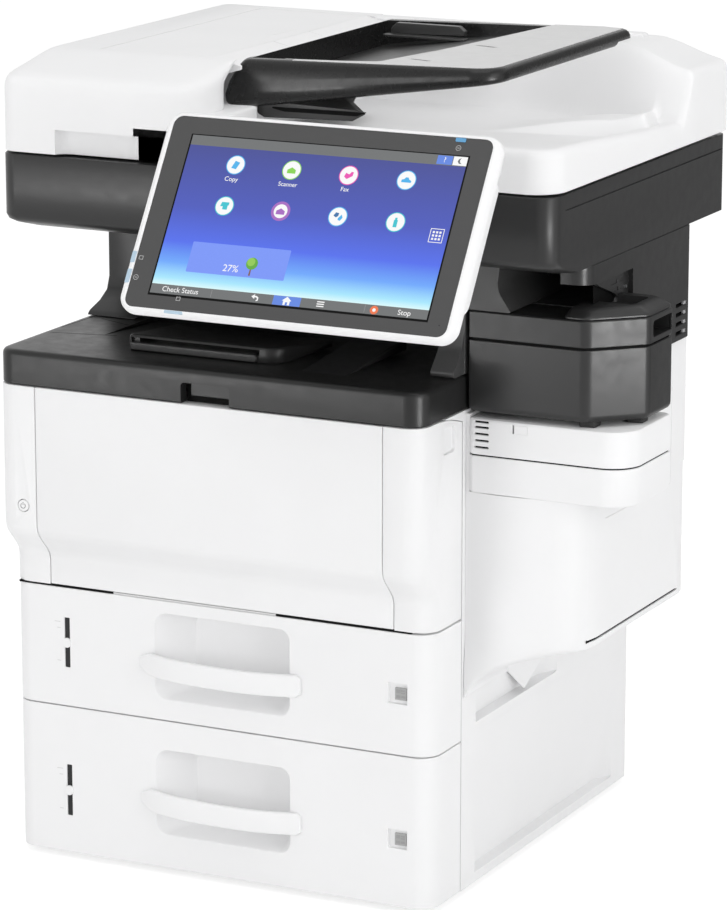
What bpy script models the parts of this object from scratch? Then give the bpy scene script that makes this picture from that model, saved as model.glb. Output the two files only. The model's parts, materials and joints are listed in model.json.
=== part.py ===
"""Compact desktop photocopier: engine, two paper drawers, scanner with feeder, tilting panel, side stapler.

Machine coordinates are millimetres: x right from the body's left side, y back from the drawer fronts,
z up from the lower unit's bottom edge. ORIGIN moves them so that the world origin lies under the middle of
the object's box, at the feet. Hidden cutters shape the solids; every visible object is one sub-part.
"""
import math

import bmesh
import bpy
from mathutils import Vector

MM = 0.001
GAP = 0.4                     # clearance between neighbouring pieces
SEAM = 1.2                    # visible joint between covers

# Body
BODY_W, BODY_D = 370.0, 392.0
FRONT_DEPTH = 53.2            # depth of the drawer fronts, and of the front cover's side wraps
FRAME_Y0 = 54.0
CORNER_R = 17.0
FOOT_H = 5.0
LOWER_TOP = 122.2
MAIN_Z0 = 123.2
DRAWER_TOP = 220.4
COVER_Z0, COVER_Z1 = 222.0, 385.6
DECK_Z0, DECK_Z1 = 386.4, 413.6
COVER_FRONT = -20.0
COVER_AXIS = (4.0, 233.0)     # y and z of the front cover's hinge
SWEEP_R = COVER_Z1 - COVER_AXIS[1]

# Scanner and document feeder
SCAN_X1 = 470.0
SCAN_Y0, SCAN_Y1 = -8.0, 333.0
SCAN_Z0, SCAN_SPLIT, SCAN_Z1 = 505.0, 554.6, 566.6
ADF_Z0, ADF_FLOOR, ADF_LIP, ADF_TOP = 568.6, 586.0, 601.0, 643.5
ADF_AXIS = (338.6, 568.0)     # y and z of the lid's rear hinge
ADF_BLOCK_X = 180.0
INPUT_X1, INPUT_Y0, INPUT_Y1 = 397.0, 56.0, 317.0

# Right side: tower, side box and stapler
SIDE_X0 = 373.0
TOWER_X1, TOWER_Y1 = 468.0, 262.0
BOX_X1, BOX_Y0, BOX_Y1 = 506.5, 56.0, 138.0
BOX_Z0, BOX_SPLIT, BOX_Z1 = 323.0, 352.0, 381.0
STAPLER_Z0, STAPLER_SPLIT, STAPLER_DECK = 385.6, 442.3, 464.0
HOUSING_Y0 = 146.0            # front of the dark housing behind the stapler

# Operation panel: corner of its display, tilt from the horizontal, and edges in the display plane
PANEL_CORNER = Vector((222.0, -166.5, 504.3))
PANEL_TILT = math.radians(57.1)
PANEL_LEFT, PANEL_RIGHT = -24.5, 246.0
PANEL_LOW, PANEL_HIGH = -15.5, 143.5
PANEL_FACE, PANEL_BACK = 1.2, -15.0
PANEL_AXIS = (-113.0, 532.0)  # y and z of the tilt hinge

PANEL_UP = Vector((0, math.cos(PANEL_TILT), math.sin(PANEL_TILT)))
PANEL_NORMAL = Vector((0, -math.sin(PANEL_TILT), math.cos(PANEL_TILT)))
FRONTMOST = (PANEL_CORNER + PANEL_UP * PANEL_LOW + PANEL_NORMAL * PANEL_FACE).y
ORIGIN = Vector((BOX_X1 / 2, (FRONTMOST + BODY_D) / 2, -FOOT_H))

AXIS_ORDER = {"x": (2, 0, 1), "y": (0, 2, 1), "z": (0, 1, 2)}
PALETTE = {
    "white": ((0.85, 0.85, 0.86), 0.45, 0.0),
    "charcoal": ((0.075, 0.075, 0.078), 0.5, 0.0),
    "deck": ((0.02, 0.02, 0.02), 0.5, 0.0),
    "grey": ((0.35, 0.35, 0.36), 0.5, 0.0),
    "rubber": ((0.03, 0.03, 0.03), 0.9, 0.0),
    "steel": ((0.55, 0.56, 0.58), 0.3, 1.0),
    "glass": ((0.05, 0.06, 0.07), 0.08, 0.0),
    "foam": ((0.8, 0.8, 0.8), 0.9, 0.0),
}


# ---------------------------------------------------------------- helpers

def finish(kind):
    """Return the Principled material of one finish."""
    material = bpy.data.materials.get(kind)
    if material:
        return material
    colour, roughness, metallic = PALETTE[kind]
    material = bpy.data.materials.new(kind)
    material.use_nodes = True
    shader = material.node_tree.nodes["Principled BSDF"]
    shader.inputs["Base Color"].default_value = (*colour, 1)
    shader.inputs["Roughness"].default_value = roughness
    shader.inputs["Metallic"].default_value = metallic
    return material


def world(point):
    """Turn a machine point in millimetres into world metres."""
    return (Vector(point) - ORIGIN) * MM


def pivot(name, point):
    """Empty on a joint's axis, which carries the pieces that move with it."""
    empty = bpy.data.objects.new(name, None)
    empty.location = world(point)
    bpy.context.scene.collection.objects.link(empty)
    return empty


def build(name, bm, kind, parent=None):
    """Make an object from a mesh in machine millimetres, with its origin on its parent's or its own middle."""
    bmesh.ops.recalc_face_normals(bm, faces=bm.faces)
    low = Vector([min(v.co[i] for v in bm.verts) for i in range(3)])
    high = Vector([max(v.co[i] for v in bm.verts) for i in range(3)])
    middle = (low + high) / 2
    anchor = parent.location.copy() if parent else world(middle)
    for vert in bm.verts:
        vert.co = world(vert.co) - anchor
    mesh = bpy.data.meshes.new(name)
    bm.to_mesh(mesh)
    bm.free()
    obj = bpy.data.objects.new(name, mesh)
    obj.location = (0, 0, 0) if parent else anchor
    obj.parent = parent
    bpy.context.scene.collection.objects.link(obj)
    mesh.materials.append(finish(kind))
    return obj


def loft_mesh(rings):
    """Closed mesh through rings of equal length, with flat end caps."""
    bm = bmesh.new()
    loops = [[bm.verts.new(point) for point in ring] for ring in rings]
    for lower, upper in zip(loops, loops[1:]):
        for i in range(len(lower)):
            j = (i + 1) % len(lower)
            bm.faces.new((lower[i], lower[j], upper[j], upper[i]))
    bm.faces.new(list(reversed(loops[0])))
    bm.faces.new(loops[-1])
    return bm


def prism_mesh(outline, axis, low, high):
    """Extrude a flat outline along an axis: (x, y) for z, (x, z) for y and (y, z) for x."""
    order = AXIS_ORDER[axis]
    rings = [[[(*point, level)[k] for k in order] for point in outline] for level in (low, high)]
    return loft_mesh(rings)


def rectangle(x0, x1, y0, y1, radii=(0, 0, 0, 0), steps=5):
    """Rectangle outline with a radius at its front left, front right, rear right and rear left corner."""
    corners = [(x0, y0, 1, 1, 180), (x1, y0, -1, 1, 270), (x1, y1, -1, -1, 0), (x0, y1, 1, -1, 90)]
    points = []
    for (x, y, sx, sy, start), radius in zip(corners, radii):
        if radius == 0:
            points.append((x, y))
            continue
        for i in range(steps + 1):
            angle = math.radians(start + 90 * i / steps)
            points.append((x + sx * radius + radius * math.cos(angle),
                           y + sy * radius + radius * math.sin(angle)))
    return points


def level_ring(outline, z):
    return [(x, y, z) for x, y in outline]


def box_mesh(x, y, z, radii=(0, 0, 0, 0), steps=5):
    return prism_mesh(rectangle(*x, *y, radii, steps), "z", *z)


def rod_mesh(axis, centre, radius, span, sides=24):
    """Round bar along an axis; centre gives its other two coordinates."""
    outline = [(centre[0] + radius * math.cos(2 * math.pi * i / sides),
                centre[1] + radius * math.sin(2 * math.pi * i / sides)) for i in range(sides)]
    return prism_mesh(outline, axis, *span)


def boolean(obj, operation, *meshes):
    """Cut, join or intersect an object with hidden tool meshes in machine millimetres."""
    for bm in meshes:
        tool = build(f"{obj.name}_tool", bm, "grey")
        tool.hide_render = True
        tool.display_type = "WIRE"
        modifier = obj.modifiers.new(operation.title(), "BOOLEAN")
        modifier.operation = operation
        modifier.solver = "EXACT"
        modifier.object = tool
    return obj


def cut(obj, *meshes):
    return boolean(obj, "DIFFERENCE", *meshes)


def join(obj, *meshes):
    return boolean(obj, "UNION", *meshes)


def on_panel(s, t, n):
    """Machine point at s along, t up and n out of the tilted display plane."""
    return PANEL_CORNER + Vector((s, 0, 0)) + PANEL_UP * t + PANEL_NORMAL * n


def panel_slab(s, t, n, radius=0.0, steps=5):
    """Rounded slab lying in the display plane."""
    outline = rectangle(*s, *t, (radius,) * 4, steps)
    return loft_mesh([[on_panel(a, b, level) for a, b in outline] for level in n])


# ---------------------------------------------------------------- lower units

def carry_recess(z0):
    """Hand recess low in a unit's right side: it is closed below by a ledge and ends in a slanting facet."""
    outer = [(80, z0 + 8), (354, z0 + 8), (345, z0 + 35), (80, z0 + 35)]
    inner = [(83, z0 + 8.6), (338, z0 + 8.6), (320, z0 + 31), (84, z0 + 31)]
    spans = ((BODY_W + 1, outer), (BODY_W, outer), (BODY_W - 8, inner))
    return loft_mesh([[(x, y, z) for y, z in outline] for x, outline in spans])


def lower_frame():
    shell = build("lower_frame", box_mesh((0, BODY_W), (FRAME_Y0, BODY_D), (0, LOWER_TOP), (0, 0, 12, 12)), "white")
    cut(shell, box_mesh((22, 348), (FRAME_Y0 - 4, 380), (6, 116)), carry_recess(0))


def feet():
    spots = {"front_left": (30, 84), "front_right": (340, 84), "rear_left": (30, 362), "rear_right": (340, 362)}
    for place, (x, y) in spots.items():
        build(f"foot_{place}", rod_mesh("z", (x, y), 12, (-FOOT_H, -GAP), 20), "rubber")


def drawer_front(name, z0, z1, recess_z0, gauge, window_z, parent):
    """Drawer front with a handle recess, a paper gauge slot and a paper-size window."""
    front = build(f"{name}_front", box_mesh((0, BODY_W), (0, FRONT_DEPTH), (z0, z1), (CORNER_R, CORNER_R, 0, 0)),
                  "white", parent)
    recess = rectangle(129, 248, recess_z0, recess_z0 + 70, (10, 10, 10, 10), 4)
    cut(front,
        prism_mesh(recess, "y", -1, 24),
        box_mesh((12, 118), (12, FRONT_DEPTH + 1), (z0 + 6, z1 - 6)),
        box_mesh((262, 358), (12, FRONT_DEPTH + 1), (z0 + 6, z1 - 6)),
        box_mesh((47.2, 51.8), (-1, 13), gauge),
        box_mesh((333, 349), (-1, 3), window_z))


def drawer_handle(name, recess_z0, parent):
    """Bowed grip bar across the recess, with its ends let into the drawer front's face."""
    steps = 12
    x0, x1, bow, thick = 115.0, 258.0, 15.0, 5.0
    outer = []
    inner = []
    for i in range(steps + 1):
        x = x0 + (x1 - x0) * i / steps
        rise = bow * (1 - (2 * i / steps - 1) ** 4 * 0.75)
        outer.append((x, -rise))
        inner.append((x, min(-rise + thick, -GAP)))
    build(f"{name}_handle", prism_mesh(outer + inner[::-1], "z", recess_z0 + 18.5, recess_z0 + 36.5), "white", parent)


def paper_bin(name, floor_z, parent):
    """Open-topped paper bin behind a drawer front."""
    bin_obj = build(f"{name}_bin", box_mesh((26, 344), (FRONT_DEPTH + GAP, 372), (floor_z, floor_z + 66)), "grey",
                    parent)
    cut(bin_obj, box_mesh((29, 341), (FRONT_DEPTH + 4, 369), (floor_z + 3, floor_z + 70)))


def drawer(name, z0, z1, recess_z0, gauge, window_z, floor_z):
    """A drawer and everything that travels or moves with it."""
    slide = pivot(f"{name}_slide", (BODY_W / 2, 0, floor_z))
    drawer_front(name, z0, z1, recess_z0, gauge, window_z, slide)
    drawer_handle(name, recess_z0, slide)
    paper_bin(name, floor_z, slide)

    hinge = pivot(f"{name}_plate_axis", (BODY_W / 2, 72, floor_z + 8))
    plate = build(f"{name}_lift_plate", box_mesh((72, 298), (70, 330), (floor_z + 7, floor_z + 9)), "steel", hinge)
    plate.rotation_euler = (math.radians(5), 0, 0)
    notches = [box_mesh(x, (145, 275), (floor_z - 30, floor_z + 60)) for x in ((60, 110), (260, 310))]
    cut(plate, *notches)

    for side, x in (("left", 62), ("right", 303)):
        build(f"{name}_guide_{side}", box_mesh((x, x + 5), (152, 268), (floor_z + 3.5, floor_z + 58)), "grey",
              pivot(f"{name}_guide_{side}_slide", (x, 200, floor_z + 4)))

    middle = sum(gauge) / 2
    build(f"{name}_gauge", prism_mesh(rectangle(47.6, 51.4, middle - 4, middle + 4), "y", -0.6, 8), "white",
          pivot(f"{name}_gauge_slide", (49.5, 2, middle)))
    build(f"{name}_pickup_roller", rod_mesh("x", (352, floor_z + 76), 9, (160, 210)), "rubber",
          pivot(f"{name}_pickup_axis", (185, 352, floor_z + 76)))


# ---------------------------------------------------------------- main unit

def cover_arc(radius, start=4.0, end=FRONT_DEPTH, steps=6):
    """Points (y, z) on a circle round the front cover's hinge, from the front back to the side wrap's end."""
    hinge_y, hinge_z = COVER_AXIS
    levels = [start + (end - start) * i / steps for i in range(steps + 1)]
    return [(y, hinge_z + math.sqrt(radius ** 2 - (y - hinge_y) ** 2)) for y in levels]


def main_frame():
    shell = build("main_frame", box_mesh((0, BODY_W), (FRAME_Y0, BODY_D), (MAIN_Z0, COVER_Z1), (0, 0, 12, 12)),
                  "white")
    cut(shell,
        box_mesh((22, 348), (FRAME_Y0 - 4, 380), (MAIN_Z0 + 5, 217)),
        box_mesh((12, 358), (FRAME_Y0 - 4, 380), (224, 380)),
        box_mesh((50, 320), (370, BODY_D + 1), (240, 370)),
        box_mesh((322, 350), (386, BODY_D + 1), (150, 172), (2, 2, 2, 2), 2),
        carry_recess(MAIN_Z0))
    for x in (0, BODY_W - 4):
        join(shell, prism_mesh(cover_arc(SWEEP_R + GAP, 24, FRAME_Y0 + 1) + [(FRAME_Y0 + 1, COVER_Z1), (24, COVER_Z1)],
                               "x", x, x + 4))


def rear_door():
    """Rear cover that swings down for clearing paper."""
    axis = pivot("rear_door_axis", (185, 390.5, 242))
    build("rear_door", box_mesh((50.6, 319.4), (386, 391.6), (240.6, 369.4)), "white", axis)


def front_profile(z):
    """Depth of the front cover's face: a flat lip, an S-shaped sweep forward, then an upright panel."""
    low, high = 243.0, 273.0
    if z <= low:
        return 0.0
    if z >= high:
        return COVER_FRONT
    blend = (z - low) / (high - low)
    return COVER_FRONT * (3 * blend ** 2 - 2 * blend ** 3)


FACE_LEVELS = [COVER_Z0, 243, 248, 253, 258, 263, 268, 273, COVER_Z1]
BYPASS_X0, BYPASS_X1 = 35.0, 338.0


def front_cover():
    """Front cover with a pocket for the bypass tray and side wraps that reach the frame."""
    axis = pivot("front_cover_axis", (185, *COVER_AXIS))
    rings = [level_ring(rectangle(0, BODY_W, front_profile(z), 52.6, (16, 16, 0, 0)), z) for z in FACE_LEVELS]
    cover = build("front_cover", loft_mesh(rings), "white", axis)
    pocket = [(-30, 210), (14, 210), (14, 262), (-3, 285), (-3, 400), (-30, 400)]
    cut(cover,
        box_mesh((4, 366), (18, 60), (226, 382)),
        prism_mesh(cover_arc(SWEEP_R, 4, 60) + [(60, 400), (4, 400)], "x", -1, BODY_W + 1),
        prism_mesh(pocket, "x", BYPASS_X0, BYPASS_X1),
        prism_mesh([(23.6 + 5.2 * math.cos(a * math.pi / 10), 289.5 + 5.2 * math.sin(a * math.pi / 10))
                    for a in range(20)], "y", -24, -10),
        prism_mesh(rectangle(19, 40, 358, 378, (4, 4, 4, 4), 3), "x", BODY_W - 3, BODY_W + 1))
    build("power_button", rod_mesh("y", (23.6, 289.5), 4.6, (-20.6, -12), 20), "white",
          pivot("power_button_slide", (23.6, -16, 289.5)))


def bypass_tray():
    """Bypass paper tray that fills the middle of the front cover and folds down."""
    axis = pivot("bypass_axis", (185, 5, 231))
    back = [(-4.2, COVER_Z1), (-4.2, 285.6), (12.6, 262.4), (12.6, 246), (5, 228), (5, COVER_Z0 + 0.6)]
    outline = [(front_profile(z), z) for z in FACE_LEVELS[1:]]
    outline = [(0, COVER_Z0 + 0.6)] + outline + back
    build("bypass_tray", prism_mesh(outline, "x", BYPASS_X0 + 0.7, BYPASS_X1 - 0.7), "white", axis)


def deck():
    """Dark top of the engine: front band, latch notch and the well of the output tray."""
    top = build("output_deck", box_mesh((0, BODY_W), (-19, BODY_D), (DECK_Z0, DECK_Z1), (16, 16, 12, 12)), "deck")
    well = [(62, DECK_Z1 + 1), (62, DECK_Z1), (318, DECK_Z1 - 13), (326, DECK_Z1 - 13), (326, DECK_Z1 + 1)]
    cut(top,
        box_mesh((165, 207), (-20, -9), (DECK_Z0 - 1, 402.5)),
        prism_mesh(well, "x", 52, 345),
        box_mesh((8, 362), (-9, 50), (DECK_Z0 - 1, 402.5)),
        box_mesh((8, 362), (60, 384), (DECK_Z0 - 1, 396)))


def paper_stopper():
    """End fence of the output tray: a wedge that lies on the deck and stands up about its front edge."""
    hinge = (22, DECK_Z1 + 3.2)
    axis = pivot("paper_stopper_axis", (163, *hinge))
    side = [(22, DECK_Z1 + 0.6), (108, DECK_Z1 + GAP), (108, DECK_Z1 + 4), (44, DECK_Z1 + 13), (22, DECK_Z1 + 13)]
    flap = build("paper_stopper", prism_mesh(side, "x", 97, 229), "charcoal", axis)
    cut(flap,
        box_mesh((107, 212), (21, 40), (DECK_Z1 + 7.4, DECK_Z1 + 11.4)),
        prism_mesh([(30, DECK_Z1 - 1), (96, DECK_Z1 - 1), (96, DECK_Z1 + 2), (44, DECK_Z1 + 5), (30, DECK_Z1 + 5)],
                   "x", 101, 225))


def left_pillar():
    """Left support of the scanner, with a foot that sweeps forward onto the deck."""
    side = [(328, DECK_Z1 + GAP), (122, DECK_Z1 + GAP), (128, 418), (144, 423), (156, 430), (160, 440),
            (160, SCAN_Z0 - GAP), (328, SCAN_Z0 - GAP)]
    pillar = build("left_pillar", prism_mesh(side, "x", 0, 46), "charcoal")
    cut(pillar, box_mesh((8, 38), (180, 329), (DECK_Z1 - 1, 480)))


def exit_wall():
    """Rear wall of the output space with the paper exit."""
    wall = build("exit_wall", box_mesh((0, BODY_W), (328.4, BODY_D), (DECK_Z1 + GAP, SCAN_Z0 - GAP),
                                       (0, 0, 12, 12)), "charcoal")
    cut(wall,
        box_mesh((60, 312), (327, 345), (424, 442)),
        box_mesh((14, 356), (338, 384), (420, 496)))
    build("exit_roller", rod_mesh("x", (350, 430), 8, (62, 310)), "rubber", pivot("exit_roller_axis", (186, 350, 430)))


def right_pillar():
    """Right support of the scanner, stepped over the stapler's deck."""
    section = [(348, DECK_Z1 + GAP), (BODY_W, DECK_Z1 + GAP), (BODY_W, STAPLER_DECK + GAP),
               (408, STAPLER_DECK + GAP), (401, 480), (397, SCAN_Z0 - GAP), (348, SCAN_Z0 - GAP)]
    pillar = build("right_pillar", prism_mesh(section, "y", 56.5, 145.4), "charcoal")
    toe = [(60, DECK_Z1 + GAP), (34, DECK_Z1 + GAP), (40, 420), (50, 430), (56, 446), (60, 470)]
    join(pillar, prism_mesh(toe, "x", 350, BODY_W - 0.5))
    join(pillar, box_mesh((348, BODY_W), (140, 328), (DECK_Z1 + GAP, SCAN_Z0 - GAP)))


# ---------------------------------------------------------------- right side units

def side_tower():
    """White side unit: a swollen lower body, and a column that carries the dark housing."""
    levels = [(155, 380, 4), (168, 394, 10), (180, 418, 18), (192, 447, 28), (200, 463, 34), (204, TOWER_X1, 36),
              (BOX_Z0 - SEAM, TOWER_X1, 36)]
    rings = [level_ring(rectangle(BODY_W + GAP, x1, BOX_Y0, TOWER_Y1, (0, radius, min(radius, 6), 0)), z)
             for z, x1, radius in levels]
    tower = build("side_tower", loft_mesh(rings), "white")
    column = [(BOX_Y1 + 1, BOX_Z0 - 10), (BOX_Y1 + 1, STAPLER_Z0 - 1), (HOUSING_Y0, STAPLER_Z0 - 1),
              (HOUSING_Y0, 413.8), (TOWER_Y1 - 0.5, 413.8), (TOWER_Y1 - 0.5, BOX_Z0 - 10)]
    join(tower, prism_mesh(column, "x", BODY_W + GAP, TOWER_X1))
    cut(tower, box_mesh((BODY_W - 1, 460), (66, 254), (214, 314), (0, 28, 0, 0)))


def box_outline(inset=0.0):
    return rectangle(SIDE_X0 + inset, BOX_X1 - inset, BOX_Y0 + inset, BOX_Y1 - inset, (0, 25 - inset, 0, 0))


def side_box():
    """White box in front of the tower: a lower tray and an upper cover with vents."""
    lower = build("side_box_lower", prism_mesh(box_outline(), "z", BOX_Z0, BOX_SPLIT - SEAM / 2), "white")
    cut(lower, prism_mesh(box_outline(4), "z", BOX_Z0 + 4, BOX_SPLIT + 5))
    upper = build("side_box_cover", prism_mesh(box_outline(), "z", BOX_SPLIT + SEAM / 2, BOX_Z1), "white")
    vents = [box_mesh((378, 390), (BOX_Y0 - 1, BOX_Y0 + 6), (z - 0.8, z + 0.8)) for z in (358.4, 363.6, 368.7, 373.8, 378.6)]
    cut(upper, prism_mesh(box_outline(4), "z", BOX_SPLIT - 5, BOX_Z1 - 3.5), *vents[:4],
        box_mesh((410.2, 411.4), (BOX_Y0 - 1, BOX_Y0 + 5), (372.6, 379)))


def stapler_outline(inset=0.0):
    """Plan of the stapler: a box with its front right corner cut off and a tongue towards the housing."""
    return [(SIDE_X0 + inset, BOX_Y0 + inset), (469 - inset * 0.4, BOX_Y0 + inset), (BOX_X1 - inset, 93 + inset * 0.4),
            (BOX_X1 - inset, BOX_Y1 - inset), (469 - inset, BOX_Y1 - inset),
            (469 - inset, HOUSING_Y0 - 0.6 - inset), (SIDE_X0 + inset, HOUSING_Y0 - 0.6 - inset)]


def stapler():
    """Manual stapler on the side box: body, deck with the paper slot, and a tilting lid."""
    body = build("stapler_body", prism_mesh(stapler_outline(), "z", STAPLER_Z0, STAPLER_SPLIT - 0.9), "charcoal")
    cut(body, prism_mesh(stapler_outline(6), "z", STAPLER_Z0 + 4, STAPLER_SPLIT + 5))
    for x, y in ((460, 66), (486, 96)):
        join(body, box_mesh((x, x + 12), (y, y + 12), (BOX_Z1 + GAP, STAPLER_Z0 + 2)))

    top = build("stapler_deck", prism_mesh(stapler_outline(), "z", STAPLER_SPLIT + 0.9, STAPLER_DECK), "charcoal")
    cut(top,
        prism_mesh(stapler_outline(6), "z", STAPLER_SPLIT - 5, STAPLER_DECK - 18),
        box_mesh((478, BOX_X1 + 2), (98, 136), (446.5, 460.5)))

    axis = pivot("stapler_lid_axis", (480, 137.2, STAPLER_DECK + 0.5))
    outline = [(452, 57), (478, 57), (506, 93), (506, 137), (452, 137)]
    inner = [(460, 66), (476, 66), (497, 95), (497, 130), (460, 130)]
    rings = [level_ring(outline, STAPLER_DECK + GAP), level_ring(outline, 466), level_ring(inner, 475)]
    lid = build("stapler_lid", loft_mesh(rings), "charcoal", axis)
    cut(lid, box_mesh((467, 493), (104, 126), (469, 480), (3, 3, 3, 3), 3))


def right_housing():
    """Dark housing that joins the tower to the scanner, with a grille in front and vents at its side."""
    housing = build("right_housing", box_mesh((BODY_W + GAP, SCAN_X1), (HOUSING_Y0, TOWER_Y1), (414.2, SCAN_Z0 - GAP),
                                              (0, 0, 6, 0)), "charcoal")
    cut(housing, box_mesh((BODY_W - 1, 464), (152, 256), (420, 499)))
    for z in (420.5, 428, 435.5, 443):
        cut(housing, box_mesh((462, SCAN_X1 + 1), (234, 254), (z - 1.4, z + 1.4)))
    for z in (466, 473, 480, 487):
        cut(housing, box_mesh((434, 460), (145, 153), (z - 1.6, z + 1.6)))


# ---------------------------------------------------------------- scanner and feeder

def scanner_outline(y0=SCAN_Y0, inset=0.0):
    radii = (16 - inset, 16 - inset, 8, 8)
    return rectangle(inset, SCAN_X1 - inset, y0 + inset, SCAN_Y1 - inset, radii)


def scanner():
    rings = [level_ring(scanner_outline(26), SCAN_Z0), level_ring(scanner_outline(SCAN_Y0 + 4), 513),
             level_ring(scanner_outline(), 518), level_ring(scanner_outline(), SCAN_SPLIT - 0.4)]
    base = build("scanner_base", loft_mesh(rings), "charcoal")
    cut(base, box_mesh((6, 464), (6, 327), (512, 560)))

    frame = build("scanner_frame", prism_mesh(scanner_outline(), "z", SCAN_SPLIT + 0.4, SCAN_Z1), "charcoal")
    cut(frame,
        box_mesh((62, 410), (56, 264), (550, 570)),
        box_mesh((55.4, 416.6), (49.4, 270.6), (561.9, 570)))
    build("platen_glass", box_mesh((56, 416), (50, 270), (562.3, 566.3)), "glass")
    build("scan_carriage", box_mesh((72, 104), (22, 306), (528, 548)), "charcoal",
          pivot("scan_carriage_slide", (88, 160, 538)))
    for side, x in (("left", 66), ("right", 386)):
        hinge = build(f"lid_hinge_{side}", box_mesh((x, x + 34), (SCAN_Y1 + GAP, 344), (530, 566)), "charcoal")
        join(hinge, rod_mesh("x", ADF_AXIS, 4.9, (x + 1, x + 33), 16))


def feeder_base():
    """Platen cover: a slab with the feeder block at its left, a raised stop at its rear and a white output floor."""
    axis = pivot("platen_cover_axis", (SCAN_X1 / 2, *ADF_AXIS))
    plan = scanner_outline()
    cover = build("platen_cover", prism_mesh(plan, "z", ADF_Z0, ADF_LIP), "white", axis)
    block_low = rectangle(0, ADF_BLOCK_X, SCAN_Y0, SCAN_Y1, (16, 0, 0, 8))
    block_mid = rectangle(2, ADF_BLOCK_X, SCAN_Y0 + 1, SCAN_Y1, (16, 0, 0, 8))
    block_top = rectangle(18, ADF_BLOCK_X, 38, SCAN_Y1 - 4, (16, 0, 0, 8))
    block = loft_mesh([level_ring(block_low, 590), level_ring(block_mid, 626), level_ring(block_top, ADF_TOP)])
    rear = [(ADF_BLOCK_X - 2, 590), (SCAN_X1, 590), (SCAN_X1, 610), (465, 627), (440, 636.5), (410, ADF_TOP),
            (ADF_BLOCK_X - 2, ADF_TOP)]
    rear_right = [(404, 590), (SCAN_X1, 590), (SCAN_X1, 610), (465, 625), (440, 635), (404, 641)]
    join(cover, block, prism_mesh(rear, "y", 322, SCAN_Y1 - 4), prism_mesh(rear_right, "y", 261, 324))
    cut(cover,
        box_mesh((ADF_BLOCK_X, 456), (8, 261), (ADF_FLOOR, 610)),
        box_mesh((ADF_BLOCK_X, 403), (260, 321.5), (ADF_FLOOR, 660)),
        box_mesh((48, 421), (38, 287), (ADF_Z0 - 2, ADF_Z0 + 2.4)),
        box_mesh((50, 330), (SCAN_Y0 - 2, SCAN_Y0 + 8), (ADF_Z0 - 2, 588)),
        box_mesh((70, ADF_BLOCK_X + 2), (62, 312), (599, 630)),
        box_mesh((58, ADF_BLOCK_X + 2), (50, 318), (627.4, ADF_TOP + 2)))
    build("platen_pad", box_mesh((50, 419), (40, 285), (567.3, 570.6)), "foam", axis)

    build("feed_cover", prism_mesh([(58.8, 628), (175, 628), (179, 632), (179, ADF_TOP), (58.8, ADF_TOP)],
                                   "y", 50.8, 317.2), "white", pivot("feed_cover_axis", (59.2, 184, 643)))
    build("feed_pickup_roller", rod_mesh("y", (160, 614), 9, (155, 215)), "rubber",
          pivot("feed_pickup_axis", (160, 185, 614)))


def input_tray():
    """Document tray of the feeder: its top rises and its rim thins towards the free end."""
    axis = pivot("input_tray_axis", (182.6, 186, 643.2))
    plan = rectangle(182, INPUT_X1, INPUT_Y0, INPUT_Y1, (6, 22, 22, 6))

    def low(x):
        return 613 + (x - 182) * 24 / 215

    def high(x):
        return 643 + (x - 182) * 5 / 215

    tray = build("input_tray", loft_mesh([[(x, y, low(x)) for x, y in plan], [(x, y, high(x)) for x, y in plan]]),
                 "charcoal", axis)
    cut(tray, box_mesh((190, 345), (74, 300), (634.5, 655)))
    for side, y in (("front", 84), ("rear", 284)):
        guide = pivot(f"input_guide_{side}_slide", (225, y, 640))
        build(f"input_guide_{side}", box_mesh((196, 262), (y, y + 6), (635, 650)), "charcoal", guide)


# ---------------------------------------------------------------- operation panel

def operation_panel():
    """Tilting touch panel on a bracket that comes out of the scanner's front."""
    axis_y, axis_z = PANEL_AXIS
    axis = pivot("panel_axis", (333, axis_y, axis_z))
    shell = build("panel_shell", panel_slab((PANEL_LEFT, PANEL_RIGHT), (PANEL_LOW, PANEL_HIGH),
                                            (PANEL_BACK, PANEL_FACE), 12), "white", axis)
    cut(shell, panel_slab((PANEL_LEFT + 8, PANEL_RIGHT - 9), (PANEL_LOW + 8, PANEL_HIGH - 8), (-4, 5), 6))
    build("panel_glass", panel_slab((PANEL_LEFT + 8.5, PANEL_RIGHT - 9.5), (PANEL_LOW + 8.5, PANEL_HIGH - 8.5),
                                    (-3.6, 0.4), 5.6), "glass", axis)
    neck = [on_panel(0, t, n).yz for t, n in ((64, -12), (40, -12), (45, -30), (59, -30))]
    for span in ((278, 291), (349, 362)):
        join(shell, prism_mesh(neck, "x", span[0] + 1, span[1] - 1), rod_mesh("x", PANEL_AXIS, 9, span, 20))

    arm = build("panel_arm", prism_mesh([(SCAN_Y0 - GAP, 522), (SCAN_Y0 - GAP, 552), (-50, 550),
                                         (axis_y, axis_z + 9), (axis_y, axis_z - 9), (-60, 526)],
                                        "x", 292, 348), "charcoal")
    join(arm, rod_mesh("x", PANEL_AXIS, 9, (292, 348), 20))


# ---------------------------------------------------------------- engine inside

def engine():
    """The print engine's main pieces inside the frame."""
    toner = [(140, 262), (215, 262), (236, 276), (236, 306), (150, 318), (132, 300)]
    build("toner_cartridge", prism_mesh(toner, "x", 60, 310), "charcoal")
    build("photo_drum", rod_mesh("x", (256, 281), 15, (64, 306)), "steel", pivot("photo_drum_axis", (185, 256, 281)))
    build("laser_unit", box_mesh((60, 310), (120, 300), (336, 374)), "grey")
    build("fuser_roller", rod_mesh("x", (330, 290), 13, (60, 310)), "steel",
          pivot("fuser_roller_axis", (185, 330, 290)))
    build("pressure_roller", rod_mesh("x", (356.6, 290), 13, (60, 310)), "rubber",
          pivot("pressure_roller_axis", (185, 356.6, 290)))


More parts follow.
